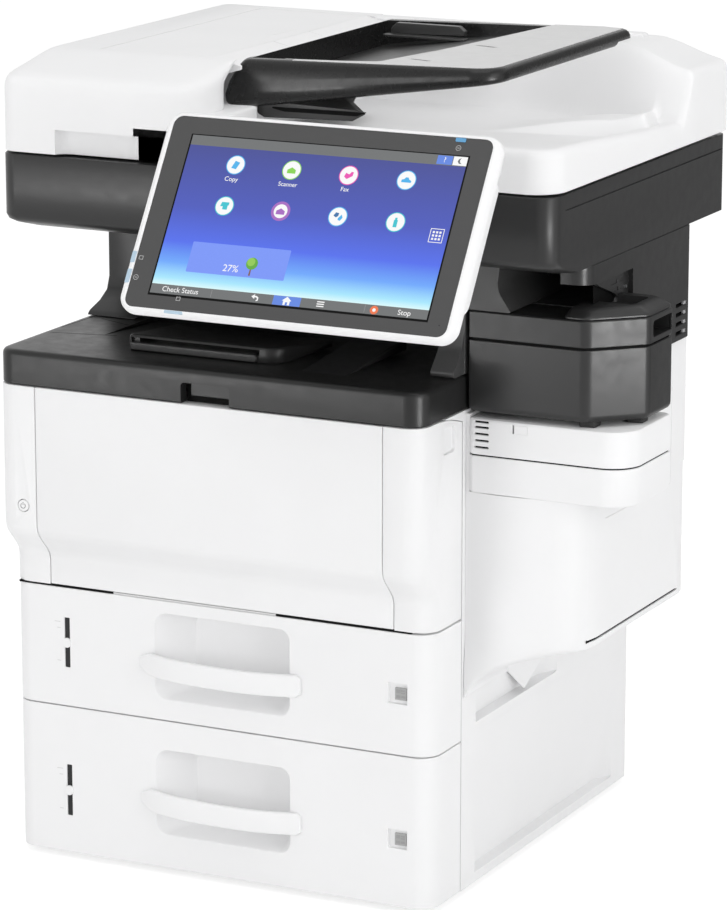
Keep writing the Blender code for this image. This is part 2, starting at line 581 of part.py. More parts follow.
def main():
    for obj in list(bpy.data.objects):
        bpy.data.objects.remove(obj, do_unlink=True)
    lower_frame()
    feet()
    drawer("tray2", 0.4, LOWER_TOP, 28.5, (31.5, 74.0), (47.5, 62.7), 12.0)
    drawer("tray1", MAIN_Z0, DRAWER_TOP, 140.5, (155.0, 196.0), (164.0, 180.0), 130.0)
    main_frame()
    rear_door()
    front_cover()
    bypass_tray()
    deck()
    paper_stopper()
    left_pillar()
    exit_wall()
    right_pillar()
    side_tower()
    side_box()
    stapler()
    right_housing()
    scanner()
    feeder_base()
    input_tray()
    operation_panel()
    engine()


main()
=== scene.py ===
"""Looks of the compact photocopier: camera, light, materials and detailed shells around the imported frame.

Lengths are machine millimetres unless a name says otherwise: x right from the body's left side, y back from
the drawer fronts, z up from the lower unit's bottom edge. ZERO places that corner in the frame's metres.
"""
import json
import math

import bmesh
import bpy
from mathutils import Matrix, Vector

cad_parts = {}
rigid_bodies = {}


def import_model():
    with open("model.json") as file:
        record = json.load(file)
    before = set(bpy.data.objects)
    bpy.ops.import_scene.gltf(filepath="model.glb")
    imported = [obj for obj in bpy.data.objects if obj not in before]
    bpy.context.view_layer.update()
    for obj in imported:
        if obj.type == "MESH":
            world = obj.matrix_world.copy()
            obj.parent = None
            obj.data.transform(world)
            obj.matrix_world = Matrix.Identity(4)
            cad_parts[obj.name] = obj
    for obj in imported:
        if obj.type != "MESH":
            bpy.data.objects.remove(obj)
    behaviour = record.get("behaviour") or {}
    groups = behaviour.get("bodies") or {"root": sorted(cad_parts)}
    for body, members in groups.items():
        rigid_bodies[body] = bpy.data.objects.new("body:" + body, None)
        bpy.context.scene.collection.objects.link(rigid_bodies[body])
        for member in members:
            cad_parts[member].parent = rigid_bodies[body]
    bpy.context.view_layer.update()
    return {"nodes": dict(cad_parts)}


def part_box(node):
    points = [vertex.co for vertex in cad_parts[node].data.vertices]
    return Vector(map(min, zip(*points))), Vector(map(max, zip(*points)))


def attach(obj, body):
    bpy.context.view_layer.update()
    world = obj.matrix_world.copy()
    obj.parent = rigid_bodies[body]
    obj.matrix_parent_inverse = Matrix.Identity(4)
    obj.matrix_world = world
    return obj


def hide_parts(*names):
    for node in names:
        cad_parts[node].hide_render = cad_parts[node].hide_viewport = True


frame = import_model()
nodes = frame["nodes"]

MM = 0.001
FOOT_H = 5.0
ZERO = Vector((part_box("tray1_front")[0].x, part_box("tray1_front")[0].y,
               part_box("foot_front_left")[0].z + FOOT_H * MM))


def edges(node):
    """Lowest and highest corner of a CAD node, in machine millimetres."""
    low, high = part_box(node)
    return (low - ZERO) / MM, (high - ZERO) / MM


# Edges that several pieces share, read from the frame
BODY_W = edges("lower_frame")[1].x
COVER_TOP = edges("front_cover")[1].z
SCAN_LOW, SCAN_HIGH = edges("scanner_base")[0], edges("scanner_frame")[1]
COVER_Z = edges("platen_cover")[0].z
FEEDER_TOP = edges("feed_cover")[1].z
STAPLER_HIGH = edges("stapler_deck")[1]

# The panel's own plane: s runs along it, t up it and n out of it, from the display's lower left corner
PANEL_TILT = math.radians(57.1)
PANEL_UP = Vector((0, math.cos(PANEL_TILT), math.sin(PANEL_TILT)))
PANEL_OUT = Vector((0, -math.sin(PANEL_TILT), math.cos(PANEL_TILT)))
GLASS_LEFT, GLASS_LOW, GLASS_BACK, GLASS_FACE = -16.0, -7.0, -3.6, 0.4
PANEL_CORNER = Vector((
    edges("panel_glass")[0].x - GLASS_LEFT,
    edges("panel_glass")[0].y - PANEL_UP.y * GLASS_LOW - PANEL_OUT.y * GLASS_FACE,
    edges("panel_glass")[0].z - PANEL_UP.z * GLASS_LOW - PANEL_OUT.z * GLASS_BACK))
SCREEN_W, SCREEN_H = 222.0, 125.4


# ---------------------------------------------------------------- materials

def wire(tree, node, values=(), links=()):
    """Set a node's inputs and link others to them, by name or number."""
    for name, value in dict(values).items():
        node.inputs[name].default_value = value
    for name, source in dict(links).items():
        tree.links.new(source, node.inputs[name])
    return node


def add_node(tree, kind, values=(), links=(), **settings):
    """New shader node with its settings, input values and incoming links."""
    node = tree.nodes.new(f"ShaderNode{kind}")
    for name, value in settings.items():
        setattr(node, name, value)
    return wire(tree, node, values, links)


def shader_material(name, colour, roughness, metallic=0.0):
    """New Principled material, with its tree, its shader and object coordinates."""
    material = bpy.data.materials.new(name)
    material.use_nodes = True
    tree = material.node_tree
    shader = wire(tree, tree.nodes["Principled BSDF"],
                  {"Base Color": (*colour, 1), "Roughness": roughness, "Metallic": metallic})
    return material, tree, shader, add_node(tree, "TexCoord").outputs["Object"]


def noise(tree, vector, feature_mm, detail=2.0):
    """Noise whose features are about this many millimetres across."""
    values = {"Scale": 1 / (feature_mm * MM), "Detail": detail}
    return add_node(tree, "TexNoise", values, {"Vector": vector}).outputs["Fac"]


def spread(tree, value, low, high):
    """Map a noise value onto a range."""
    values = {"From Min": 0.3, "From Max": 0.7, "To Min": low, "To Max": high}
    return add_node(tree, "MapRange", values, {"Value": value}).outputs["Result"]


def blend(tree, factor, first, second):
    """Colour between two others."""
    values = {"A": (*first, 1), "B": (*second, 1)}
    return add_node(tree, "Mix", values, {"Factor": factor}, data_type="RGBA").outputs["Result"]


def plastic(name, colour, roughness, grain_mm=0.6, grain=0.12, shift=0.02, metallic=0.0, stretch=None,
            specular=0.5):
    """Moulded plastic: spark-eroded grain, slight unevenness of gloss and of shade."""
    shade_mm, gloss_mm, gloss_swing = 70.0, 9.0, 0.04
    material, tree, shader, vector = shader_material(name, colour, roughness, metallic)
    if stretch:
        vector = add_node(tree, "Mapping", {"Scale": stretch}, {"Vector": vector}).outputs["Vector"]
    shade = blend(tree, spread(tree, noise(tree, vector, shade_mm), 0, 1), [c * (1 - shift) for c in colour],
                  [min(1.0, c * (1 + shift)) for c in colour])
    gloss = spread(tree, noise(tree, vector, gloss_mm, 3.0), roughness - gloss_swing, roughness + gloss_swing)
    bump = add_node(tree, "Bump", {"Strength": grain, "Distance": grain_mm * 0.2 * MM},
                    {"Height": noise(tree, vector, grain_mm, 3.0)})
    wire(tree, shader, {"Specular IOR Level": specular},
         {"Base Color": shade, "Roughness": gloss, "Normal": bump.outputs["Normal"]})
    return material


def glow(name, colour, strength=1.0):
    """Lit colour on the display: a dark base that gives off its own light."""
    material, tree, shader, vector = shader_material(name, (0.01, 0.01, 0.012), 0.3)
    lit = blend(tree, spread(tree, noise(tree, vector, 1.2), 0, 1), [c * 0.97 for c in colour], colour)
    wire(tree, shader, {"Emission Strength": strength}, {"Emission Color": lit})
    return material


def screen_gradient():
    """Wallpaper of the display: indigo at the top, through blue and cyan to near-white at the bottom."""
    material, tree, shader, vector = shader_material("screen_wallpaper", (0.01, 0.01, 0.015), 0.25)
    offset = add_node(tree, "VectorMath", {1: ZERO + PANEL_CORNER * MM}, {0: vector}, operation="SUBTRACT")
    height = add_node(tree, "VectorMath", {1: PANEL_UP / (SCREEN_H * MM)}, {0: offset.outputs[0]},
                      operation="DOT_PRODUCT")
    ramp = add_node(tree, "ValToRGB", links={"Fac": height.outputs["Value"]})
    stops = [(0.055, (0.70, 0.93, 0.93)), (0.10, (0.36, 0.76, 0.93)), (0.20, (0.13, 0.36, 0.92)),
             (0.33, (0.06, 0.13, 0.80)), (0.55, (0.045, 0.075, 0.47)), (0.94, (0.036, 0.050, 0.27))]
    while len(ramp.color_ramp.elements) < len(stops):
        ramp.color_ramp.elements.new(0.5)
    for element, (position, colour) in zip(ramp.color_ramp.elements, stops):
        element.position = position
        element.color = (*colour, 1)
    wire(tree, shader, {"Emission Strength": 1.0}, {"Emission Color": ramp.outputs["Color"]})
    return material


def clear_glass():
    """Flat scanner glass."""
    material, tree, shader, vector = shader_material("clear_glass", (0.75, 0.82, 0.82), 0.03)
    smear = spread(tree, noise(tree, vector, 30.0), 0.02, 0.06)
    wire(tree, shader, {"Transmission Weight": 0.85, "IOR": 1.5}, {"Roughness": smear})
    return material


WHITE = plastic("white_abs", (0.84, 0.84, 0.845), 0.46, shift=0.008, specular=0.07)
CHARCOAL = plastic("charcoal_abs", (0.024, 0.024, 0.0242), 0.33, grain=0.2, shift=0.015, specular=0.3)
# Dark grey painted shade that fills the drawers' gauge slots.
SLOT = plastic("gauge_slot_painted_shade", (0.035, 0.035, 0.036), 0.6, specular=0.1)
# Black: the display's border and small marks, and painted shade in gaps, joints, slots and openings.
BLACK = plastic("black_and_painted_shade", (0.003, 0.003, 0.003), 0.7, specular=0.1)
DECK = plastic("deck_abs", (0.018, 0.018, 0.018), 0.34, grain=0.2, shift=0.01, specular=0.26)
RIM = plastic("tray_rim_gloss", (0.010, 0.010, 0.010), 0.27, grain=0.0, specular=0.3)
# Charcoal made lighter: painted fill light for the shaded niche beside the stapler and for the right pillar's
# side.
NICHE_FILL_LIGHT = plastic("niche_painted_fill_light", (0.060, 0.060, 0.060), 0.4, grain=0.2, shift=0.01, specular=0.3)
TRAY_TOP = plastic("tray_top_grey", (0.60, 0.60, 0.60), 0.42, shift=0.01)
HOPPER = plastic("hopper_dark", (0.020, 0.020, 0.020), 0.32, grain=0.08)
GREY = plastic("inner_grey", (0.33, 0.33, 0.34), 0.5)
RUBBER = plastic("rubber_black", (0.02, 0.02, 0.02), 0.85, grain_mm=0.4, grain=0.4)
STEEL = plastic("bright_steel", (0.55, 0.56, 0.58), 0.3, grain_mm=0.5, grain=0.08, metallic=1.0,
                stretch=(1, 30, 30))
FOAM = plastic("pad_white", (0.85, 0.85, 0.84), 0.7, grain_mm=1.5, grain=0.25)
GLASS = clear_glass()
BEZEL = plastic("bezel_glass", (0.050, 0.050, 0.0505), 0.22, grain=0.01, shift=0.01)
SEAM_GREY = plastic("seam_grey", (0.30, 0.30, 0.30), 0.6)
PRINT_GREY = plastic("print_grey", (0.16, 0.16, 0.17), 0.6)

# Lit colours of the display, and the slot that a material belongs to where a piece doesn't say
SIGN = {name: glow(f"sign_{name}", colour) for name, colour in (
    ("white", (0.92, 0.92, 0.92)), ("grey", (0.25, 0.25, 0.25)), ("blue", (0.10, 0.22, 0.72)),
    ("sky", (0.05, 0.42, 0.80)), ("green", (0.22, 0.62, 0.05)), ("pink", (0.80, 0.06, 0.42)),
    ("teal", (0.02, 0.52, 0.60)), ("violet", (0.36, 0.12, 0.50)), ("navy", (0.02, 0.14, 0.36)),
    ("orange", (0.85, 0.16, 0.04)), ("leaf", (0.10, 0.38, 0.02)), ("leaf_light", (0.26, 0.56, 0.06)),
    ("trunk", (0.20, 0.08, 0.02)))}
SLOT_OF = {"white_abs": "white_plastic", "deck_abs": "dark_deck", "tray_rim_gloss": "tray_rim"}


# ---------------------------------------------------------------- mesh helpers

def world(point):
    """Frame position, in metres, of a machine point."""
    return ZERO + Vector(point) * MM


def on_panel(s, t, n):
    """Machine point at s along, t up and n out of the panel's plane."""
    return PANEL_CORNER + Vector((s, 0, 0)) + PANEL_UP * t + PANEL_OUT * n


def rounded(corners, steps=8):
    """Closed outline through corners (a, b, radius), each with its own fillet."""
    points = []
    for i, (a, b, radius) in enumerate(corners):
        here = Vector((a, b))
        if radius == 0:
            points.append((a, b))
            continue
        back = (Vector(corners[i - 1][:2]) - here).normalized()
        on = (Vector(corners[(i + 1) % len(corners)][:2]) - here).normalized()
        half = back.angle(on) / 2
        centre = here + (back + on).normalized() * (radius / math.sin(half))
        start = here + back * (radius / math.tan(half)) - centre
        end = here + on * (radius / math.tan(half)) - centre
        first = math.atan2(start.y, start.x)
        turn = (math.atan2(end.y, end.x) - first + math.pi) % (2 * math.pi) - math.pi
        for k in range(steps + 1):
            angle = first + turn * k / steps
            points.append((centre.x + radius * math.cos(angle), centre.y + radius * math.sin(angle)))
    return points


def box_outline(x0, x1, y0, y1, radii=(0, 0, 0, 0), steps=8):
    """Rectangle with a fillet at its front left, front right, rear right and rear left corner."""
    corners = zip(((x0, y0), (x1, y0), (x1, y1), (x0, y1)), radii)
    return rounded([(*point, radius) for point, radius in corners], steps)


def loft(rings):
    """Closed mesh through rings of equal length, with flat end caps."""
    bm = bmesh.new()
    loops = [[bm.verts.new(point) for point in ring] for ring in rings]
    for lower, upper in zip(loops, loops[1:]):
        for i in range(len(lower)):
            j = (i + 1) % len(lower)
            bm.faces.new((lower[i], lower[j], upper[j], upper[i]))
    bm.faces.new(list(reversed(loops[0])))
    bm.faces.new(loops[-1])
    return bm


AXIS_ORDER = {"x": (2, 0, 1), "y": (0, 2, 1), "z": (0, 1, 2)}


def prism(outline, axis, low, high):
    """Extrude an outline along an axis: (x, y) for z, (x, z) for y and (y, z) for x."""
    order = AXIS_ORDER[axis]
    return loft([[[(*point, level)[k] for k in order] for point in outline] for level in (low, high)])


def block(x, y, z, radii=(0, 0, 0, 0), steps=8):
    return prism(box_outline(*x, *y, radii, steps), "z", *z)


def circle(a, b, radius, sides=40):
    turns = [2 * math.pi * i / sides for i in range(sides)]
    return [(a + radius * math.cos(turn), b + radius * math.sin(turn)) for turn in turns]


def rod(axis, centre, radius, low, high):
    return prism(circle(*centre, radius), axis, low, high)


def flat_ring(outline, z):
    """Outline (x, y) laid at one height."""
    return [(x, y, z) for x, y in outline]


def slab(s, t, n, radius=0.0, steps=8):
    """Rounded slab lying in the panel's plane."""
    outline = box_outline(*s, *t, (radius,) * 4, steps)
    return loft([[on_panel(a, b, level) for a, b in outline] for level in n])


def to_mesh(bm, name):
    """Mesh in the frame's metres from a bmesh in machine millimetres."""
    bmesh.ops.recalc_face_normals(bm, faces=bm.faces)
    for vert in bm.verts:
        vert.co = world(vert.co)
    mesh = bpy.data.meshes.new(name)
    bm.to_mesh(mesh)
    bm.free()
    return mesh


def smooth(mesh, angle=32):
    for polygon in mesh.polygons:
        polygon.use_smooth = True
    mesh.set_sharp_from_angle(angle=math.radians(angle))


def soften(obj, width, angle=32):
    """Round every edge sharper than the angle."""
    bevel = obj.modifiers.new("edges", "BEVEL")
    bevel.width = width * MM
    bevel.segments = 3
    bevel.limit_method = "ANGLE"
    bevel.angle_limit = math.radians(angle)
    bevel.harden_normals = True


def piece(name, bm, material, body="chassis", slot=None, replaces=(), edge=0.0, cuts=(), joins=(), angle=32):
    """Make one visible piece: mesh, boolean cuts and joins, edge rounding, material and body; the slot is
    worked out but not used.
    """
    slot = slot or SLOT_OF.get(material.name, "charcoal_plastic")
    obj = bpy.data.objects.new(name, to_mesh(bm, name))
    bpy.context.scene.collection.objects.link(obj)
    tools = []
    for operation, meshes in (("UNION", joins), ("DIFFERENCE", cuts)):
        for tool_bm in meshes:
            tool = bpy.data.objects.new("tool", to_mesh(tool_bm, "tool"))
            bpy.context.scene.collection.objects.link(tool)
            modifier = obj.modifiers.new(operation, "BOOLEAN")
            modifier.operation = operation
            modifier.solver = "EXACT"
            modifier.object = tool
            tools.append(tool)
    if tools:
        graph = bpy.context.evaluated_depsgraph_get()
        solid = bpy.data.meshes.new_from_object(obj.evaluated_get(graph))
        obj.modifiers.clear()
        obj.data = solid
        for tool in tools:
            bpy.data.objects.remove(tool, do_unlink=True)
    obj.data.materials.clear()
    obj.data.materials.append(material)
    smooth(obj.data, angle)
    if edge:
        soften(obj, edge, angle=angle)
    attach(obj, body)
    if replaces:
        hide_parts(*replaces)


def dress(node, material, edge):
    """Give a CAD node its finish: clean faces, rounded edges and smooth shading."""
    obj = nodes[node]
    obj.data.materials.clear()
    obj.data.materials.append(material)
    weld = obj.modifiers.new("weld", "WELD")
    weld.merge_threshold = 0.00001
    flat = obj.modifiers.new("flat", "DECIMATE")
    flat.decimate_type = "DISSOLVE"
    flat.angle_limit = math.radians(1.0)
    for polygon in obj.data.polygons:
        polygon.use_smooth = True
    soften(obj, edge)


def lerp(a, b, f):
    return a + (b - a) * f


def ease(low, high, value):
    """0 below low, 1 above high, and a smooth S between."""
    f = min(1.0, max(0.0, (value - low) / (high - low)))
    return f * f * (3 - 2 * f)


def along(table, value):
    """Interpolate in a short list of (position, value) pairs."""
    if value <= table[0][0]:
        return table[0][1]
    for (a, va), (b, vb) in zip(table, table[1:]):
        if value <= b:
            return lerp(va, vb, (value - a) / (b - a))
    return table[-1][1]


# ---------------------------------------------------------------- carried-over CAD pieces

def dress_frame():
    """Finishes of the CAD nodes that keep their own shape."""
    finishes = {
        (WHITE, 0.8): ["rear_door", "front_cover", "bypass_tray", "power_button"],
        (CHARCOAL, 1.2): ["scanner_frame", "exit_wall", "panel_arm", "lid_hinge_left", "lid_hinge_right",
                          "scan_carriage", "toner_cartridge"],
        (CHARCOAL, 3.0): ["left_pillar"],
        (GREY, 0.5): ["laser_unit", "tray1_bin", "tray2_bin", "tray1_guide_left", "tray1_guide_right",
                      "tray2_guide_left", "tray2_guide_right"],
        (STEEL, 0.3): ["photo_drum", "fuser_roller", "tray1_lift_plate", "tray2_lift_plate"],
        (RUBBER, 0.8): ["exit_roller", "pressure_roller", "tray1_pickup_roller", "tray2_pickup_roller",
                        "feed_pickup_roller", "foot_front_left", "foot_front_right", "foot_rear_left",
                        "foot_rear_right"],
        (FOAM, 0.8): ["platen_pad"],
        (GLASS, 0.3): ["platen_glass"],
    }
    for (material, edge), names in finishes.items():
        for name in names:
            dress(name, material, edge)


# ---------------------------------------------------------------- body and drawers

def carry_recess(z0, rear):
    """Hand recess low in a unit's right side: it deepens downwards and ends in a slanting rear facet."""
    profile = [(BODY_W + 1, z0 + 8), (BODY_W + 1, z0 + 36), (BODY_W, z0 + 35), (BODY_W - 8.5, z0 + 9.5)]
    start = [(x, 80, z) for x, z in profile]
    middle = [(x, rear - 18, z) for x, z in profile]
    end = [(max(x, BODY_W - 0.2), rear, z) for x, z in profile]
    return loft([start, middle, end])


def lower_frame():
    low, high = edges("lower_frame")
    shell = block((low.x, high.x), (low.y, high.y), (low.z, high.z + 0.96), (0, 0, 12, 12))
    cavity = block((22, 348), (low.y - 4, 380), (6, 116))
    piece("lower_frame_shell", shell, WHITE, replaces=["lower_frame"], cuts=[cavity, carry_recess(0, 352)])


def sweep_arc(start, end):
    """Points (y, z) of the side plates' front edge, round the front cover's hinge."""
    hinge_y, hinge_z = 4.0, 233.0
    radius = COVER_TOP - hinge_z + 0.4
    levels = [lerp(start, end, i / 8) for i in range(9)]
    return [(y, hinge_z + math.sqrt(radius ** 2 - (y - hinge_y) ** 2)) for y in levels]


def main_frame():
    low, high = edges("main_frame")
    front, z0 = 54.0, low.z
    shell = block((low.x, high.x), (front, high.y), (z0, high.z), (0, 0, 12, 12))
    cuts = [block((22, 348), (front - 4, 380), (z0 + 5, 217)), block((12, 358), (front - 4, 380), (224, 380)),
            block((50, 320), (370, high.y + 1), (240, 370)),
            block((322, 350), (386, high.y + 1), (150, 172), (2, 2, 2, 2)), carry_recess(z0, 236)]
    plates = [prism(sweep_arc(24, front + 1) + [(front + 1, COVER_TOP), (24, COVER_TOP)], "x", x, x + 4)
              for x in (0, BODY_W - 4)]
    piece("main_frame_shell", shell, WHITE, replaces=["main_frame"], cuts=cuts, joins=plates)
    piece("side_gap", block((370.2, 373.4), (59, 250), (160, 383)), WHITE)
    # Strip in the gap along the front cover: black painted shade at both ends, light grey in the middle.
    for name, x, material in (("left", (6, 92), BLACK), ("middle", (92, 236), TRAY_TOP),
                              ("right", (236, 352), BLACK)):
        piece(f"cover_seam_{name}", block(x, (0.8, 4), (220.6, 222.1)), material, "front_cover",
              "white_plastic")


def drawer_front(name, recess_z0, gauge_z, gauge_half, window_z):
    """Drawer front whose handle recess has a wide soft left wall and a sloping floor."""
    low, high = edges(f"{name}_front")
    shell = block((low.x, high.x), (low.y, high.y), (low.z, high.z), (17, 17, 0, 0), 12)
    rings = []
    for depth, left, right, floor, roof in ((-2.0, 128, 248.6, -0.6, 70.4), (0.0, 129, 248, 0, 70),
                                            (2.0, 130.6, 247.4, 1.4, 69.6), (7.0, 136, 247, 3.6, 69.4),
                                            (14.0, 143.5, 246.6, 6.2, 69.2), (20.0, 149, 246, 8.6, 69.0),
                                            (24.0, 153, 243, 12.0, 67.0)):
        outline = box_outline(left, right, recess_z0 + floor, recess_z0 + roof, (11, 10, 9, 11), 8)
        rings.append([(x, depth, z) for x, z in outline])
    cuts = [loft(rings),
            block((12, 118), (12, high.y + 1), (low.z + 6, high.z - 6)),
            block((262, 358), (12, high.y + 1), (low.z + 6, high.z - 6)),
            block((47.2, 51.8), (-1, 13), (gauge_z - gauge_half, gauge_z + gauge_half)),
            block((333, 349), (-1, 3), window_z)]
    body = f"{name}_drawer"
    piece(f"{name}_face", shell, WHITE, body, replaces=[f"{name}_front"], edge=0.7, cuts=cuts, angle=36)
    # Dark grey filler of painted shade in the gauge slot.
    piece(f"{name}_gauge_slot", block((47.1, 51.9), (1.0, 12), (gauge_z - gauge_half, gauge_z + gauge_half)),
          SLOT, body)
    knob = box_outline(46.2, 52.8, gauge_z - 4, gauge_z + 4, (3.2,) * 4)
    piece(f"{name}_gauge_knob", prism(knob, "y", -1.4, 0.8), WHITE, f"{name}_gauge",
          replaces=[f"{name}_gauge"], edge=0.6)
    for i, z in enumerate((gauge_z + gauge_half - 4, gauge_z + gauge_half - 9, gauge_z - gauge_half + 5)):
        piece(f"{name}_gauge_mark{i}", block((40.4 - (i == 0) * 2, 43.6), (-0.06, 0.2), (z, z + 0.5)),
              TRAY_TOP, body, "white_plastic")
    middle = sum(window_z) / 2
    card = plastic(f"{name}_card", (0.36, 0.36, 0.36), 0.6)
    piece(f"{name}_size_card", block((338.4, 348.2), (1.2, 2.8), (middle - 5.0, middle + 4.6)), card, body,
          "white_plastic")
    for i, (x, z, w, h) in enumerate(((339.6, 0.6, 3.2, 2.6), (343.6, 2.0, 3.4, 1.0), (343.6, 0.2, 3.4, 0.9),
                                      (339.6, -3.6, 3.2, 2.2), (343.6, -3.2, 3.4, 1.6))):
        piece(f"{name}_size_mark{i}", block((x, x + w), (0.95, 1.3), (middle + z, middle + z + h)), SEAM_GREY,
              body, "white_plastic")


def drawer_grip(name):
    """Bowed grip whose left end melts into the face and whose right end is cut square."""
    low, high = edges(f"{name}_handle")
    steps, sides, thick = 44, 28, 5.4
    rings = []
    for i in range(steps + 1):
        f = i / steps
        x = lerp(low.x, high.x, f)
        bow = 14.6 * (1 - abs(2 * f - 1) ** 2.6) + 0.9 * ease(0.0, 0.05, f) + 2.2 * ease(0.9, 0.99, f)
        reach = 9.0 * (1 - 0.5 * (1 - ease(0.0, 0.09, f)) - 0.30 * ease(0.975, 1.0, f))
        middle = (low.z + high.z) / 2 + 0.9 * (1 - 2 * f)
        ring = []
        for k in range(sides):
            angle = 2 * math.pi * k / sides
            cosine, sine = math.cos(angle), math.sin(angle)
            across = thick / 2 * abs(cosine) ** 0.5 * (1 if cosine > 0 else -1)
            up = reach * abs(sine) ** 0.28 * (1 if sine > 0 else -1)
            ring.append((x, -bow + thick / 2 + across, middle + up))
        rings.append(ring)
    piece(f"{name}_grip", loft(rings), WHITE, f"{name}_drawer", replaces=[f"{name}_handle"], angle=48)


# ---------------------------------------------------------------- deck, pillars and scanner

def output_deck():
    """Dark top of the engine: a deep front band, a latch notch and the well of the output tray."""
    low, high = edges("output_deck")
    rings = []
    for inset, z in ((0.8, low.z), (0.0, low.z + 0.8), (0.0, high.z - 4.6), (0.4, high.z - 2.6),
                     (1.5, high.z - 1.1), (3.4, high.z - 0.2), (6.0, high.z)):
        outline = box_outline(low.x + inset, high.x - inset, low.y + inset, high.y - inset,
                              (16 - inset, 16 - inset, 12 - inset, 12 - inset), 10)
        rings.append(flat_ring(outline, z))
    well = [(62, high.z + 1), (62, high.z), (318, high.z - 13), (326, high.z - 13), (326, high.z + 1)]
    notch = prism(box_outline(165, 207, 380, 402.5, (0, 0, 3, 3)), "y", -30, -9)
    cuts = [notch, prism(well, "x", 52, 345), block((8, 362), (-9, 50), (low.z - 1, 402.5)),
            block((8, 362), (60, 384), (low.z - 1, 396))]
    piece("output_deck_shell", loft(rings), DECK, replaces=["output_deck"], edge=0.7, cuts=cuts, angle=36)
    lever = box_outline(170.5, 206.4, 391.4, 402, (1, 1, 2, 2))
    piece("latch_lever", prism(lever, "y", -12.5, -9.4), CHARCOAL, edge=0.6)
    # Black strip of painted shade in the gap behind the latch lever.
    piece("latch_gap", block((165.6, 206.6), (-9.2, -8.2), (low.z, 402)), BLACK)
    for i, (x0, y0, x1, y1) in enumerate(((6, 73, 10, 163), (18, 117, 53, 102.6), (8, 52, 62, 64))):
        across = Vector((y1 - y0, x0 - x1)).normalized() * 0.35
        strip = [(x0 + across.x, y0 + across.y), (x1 + across.x, y1 + across.y),
                 (x1 - across.x, y1 - across.y), (x0 - across.x, y0 - across.y)]
        piece(f"deck_line{i}", prism(strip, "z", high.z - 0.4, high.z + 0.05), BLACK, "chassis", "dark_deck")
    ramp_side = [(8, high.z - 0.3), (66, high.z - 0.3), (118, high.z - 0.3), (118, high.z + 9),
                 (84, high.z + 7)]
    piece("deck_ramp", prism(ramp_side, "x", 252, 292), CHARCOAL, "chassis", "dark_deck", edge=2.0)


def paper_stopper():
    """Flap of the output tray: a wedge with a round front corner and a grip bar in its front."""
    low, high = edges("paper_stopper")
    front, top = low.y, high.z
    plan = rounded([(low.x, front, 2), (high.x, front, 14), (high.x + 6, high.y, 8), (low.x - 4, high.y, 3)],
                   10)
    rings = []
    for share, inset in ((0.0, 0.3), (0.06, 0.0), (0.8, 0.0), (0.93, 0.7), (1.0, 2.6)):
        ring = []
        for x, y in plan:
            crest = lerp(top, low.z + 4.4, ease(44, high.y, y))
            cx, cy = (low.x + high.x) / 2, (front + high.y) / 2
            px = x + (inset if x < cx else -inset)
            py = y + (inset if y < cy else -inset)
            ring.append((px, py, lerp(low.z, crest, share)))
        rings.append(ring)
    slot = block((low.x + 8, high.x - 17), (front - 3, front + 16), (low.z + 6.2, top - 2.4))
    step = block((low.x + 2, high.x - 17), (front - 3, front + 3), (low.z + 5.4, top - 2.4))
    piece("paper_stopper_flap", loft(rings), DECK, "paper_stopper", replaces=["paper_stopper"],
          cuts=[slot, step], angle=40)
    bar = box_outline(low.x + 1.5, high.x - 18.5, low.z + 0.2, low.z + 6.6, (1.6, 3, 3, 1.6))
    piece("paper_stopper_bar", prism(bar, "y", front - 2.2, front + 12), CHARCOAL, "paper_stopper", edge=1.2)


def scanner_base():
    """Scanner tray: upright walls over a chamfer that runs round its front and left."""
    low, high = SCAN_LOW, SCAN_HIGH
    top = edges("scanner_frame")[1].z - 0.1
    rings = []
    for left, front, z in ((17, 34, 505.0), (10.5, 22, 507.6), (3.6, 7.5, 511.8), (1.0, 2.2, 514.6),
                           (0.0, 0.0, 518.5), (-0.04, -0.04, top - 0.9), (0.6, 0.6, top)):
        outline = box_outline(low.x + left, high.x - min(left, 0), low.y + front, high.y, (14, 15, 8, 8), 10)
        rings.append(flat_ring(outline, z))
    cavity = block((6, 464), (6, 327), (512, 580))
    groove = block((high.x - 0.8, high.x + 1), (16, 330), (554.4, 555.5))
    piece("scanner_base_shell", loft(rings), CHARCOAL, replaces=["scanner_base"], cuts=[cavity, groove],
          angle=36)


# ---------------------------------------------------------------- right side

NICHE_REAR, SKIRT_Z = 187.0, 489.3
VENT_LEVELS = (420.5, 428, 435.5, 443)


def right_pillar():
    """Right support of the scanner, with a flared toe on the deck and a rounded edge beside the stapler."""
    low, high = edges("right_pillar")
    step = STAPLER_HIGH.z + 0.5
    section = rounded([(348, low.z, 0), (BODY_W, low.z, 0), (BODY_W, step, 0), (408, step, 1), (396, 482, 18),
                       (399, high.z, 0), (348, high.z, 0)], 8)
    toe = rounded([(62, low.z, 0), (33, low.z, 3), (40, 421, 8), (52, 434, 14), (57, 450, 12), (62, 470, 0)],
                  6)
    back = block((348, BODY_W), (140, 328), (low.z, high.z))
    # The pillar uses the lighter charcoal of painted fill light, because its side stands in shade.
    piece("right_pillar_shell", prism(section, "y", 56.6, NICHE_REAR), NICHE_FILL_LIGHT, replaces=["right_pillar"],
          edge=1.6, joins=[prism(toe, "x", 350, BODY_W - 0.5), back], angle=36)


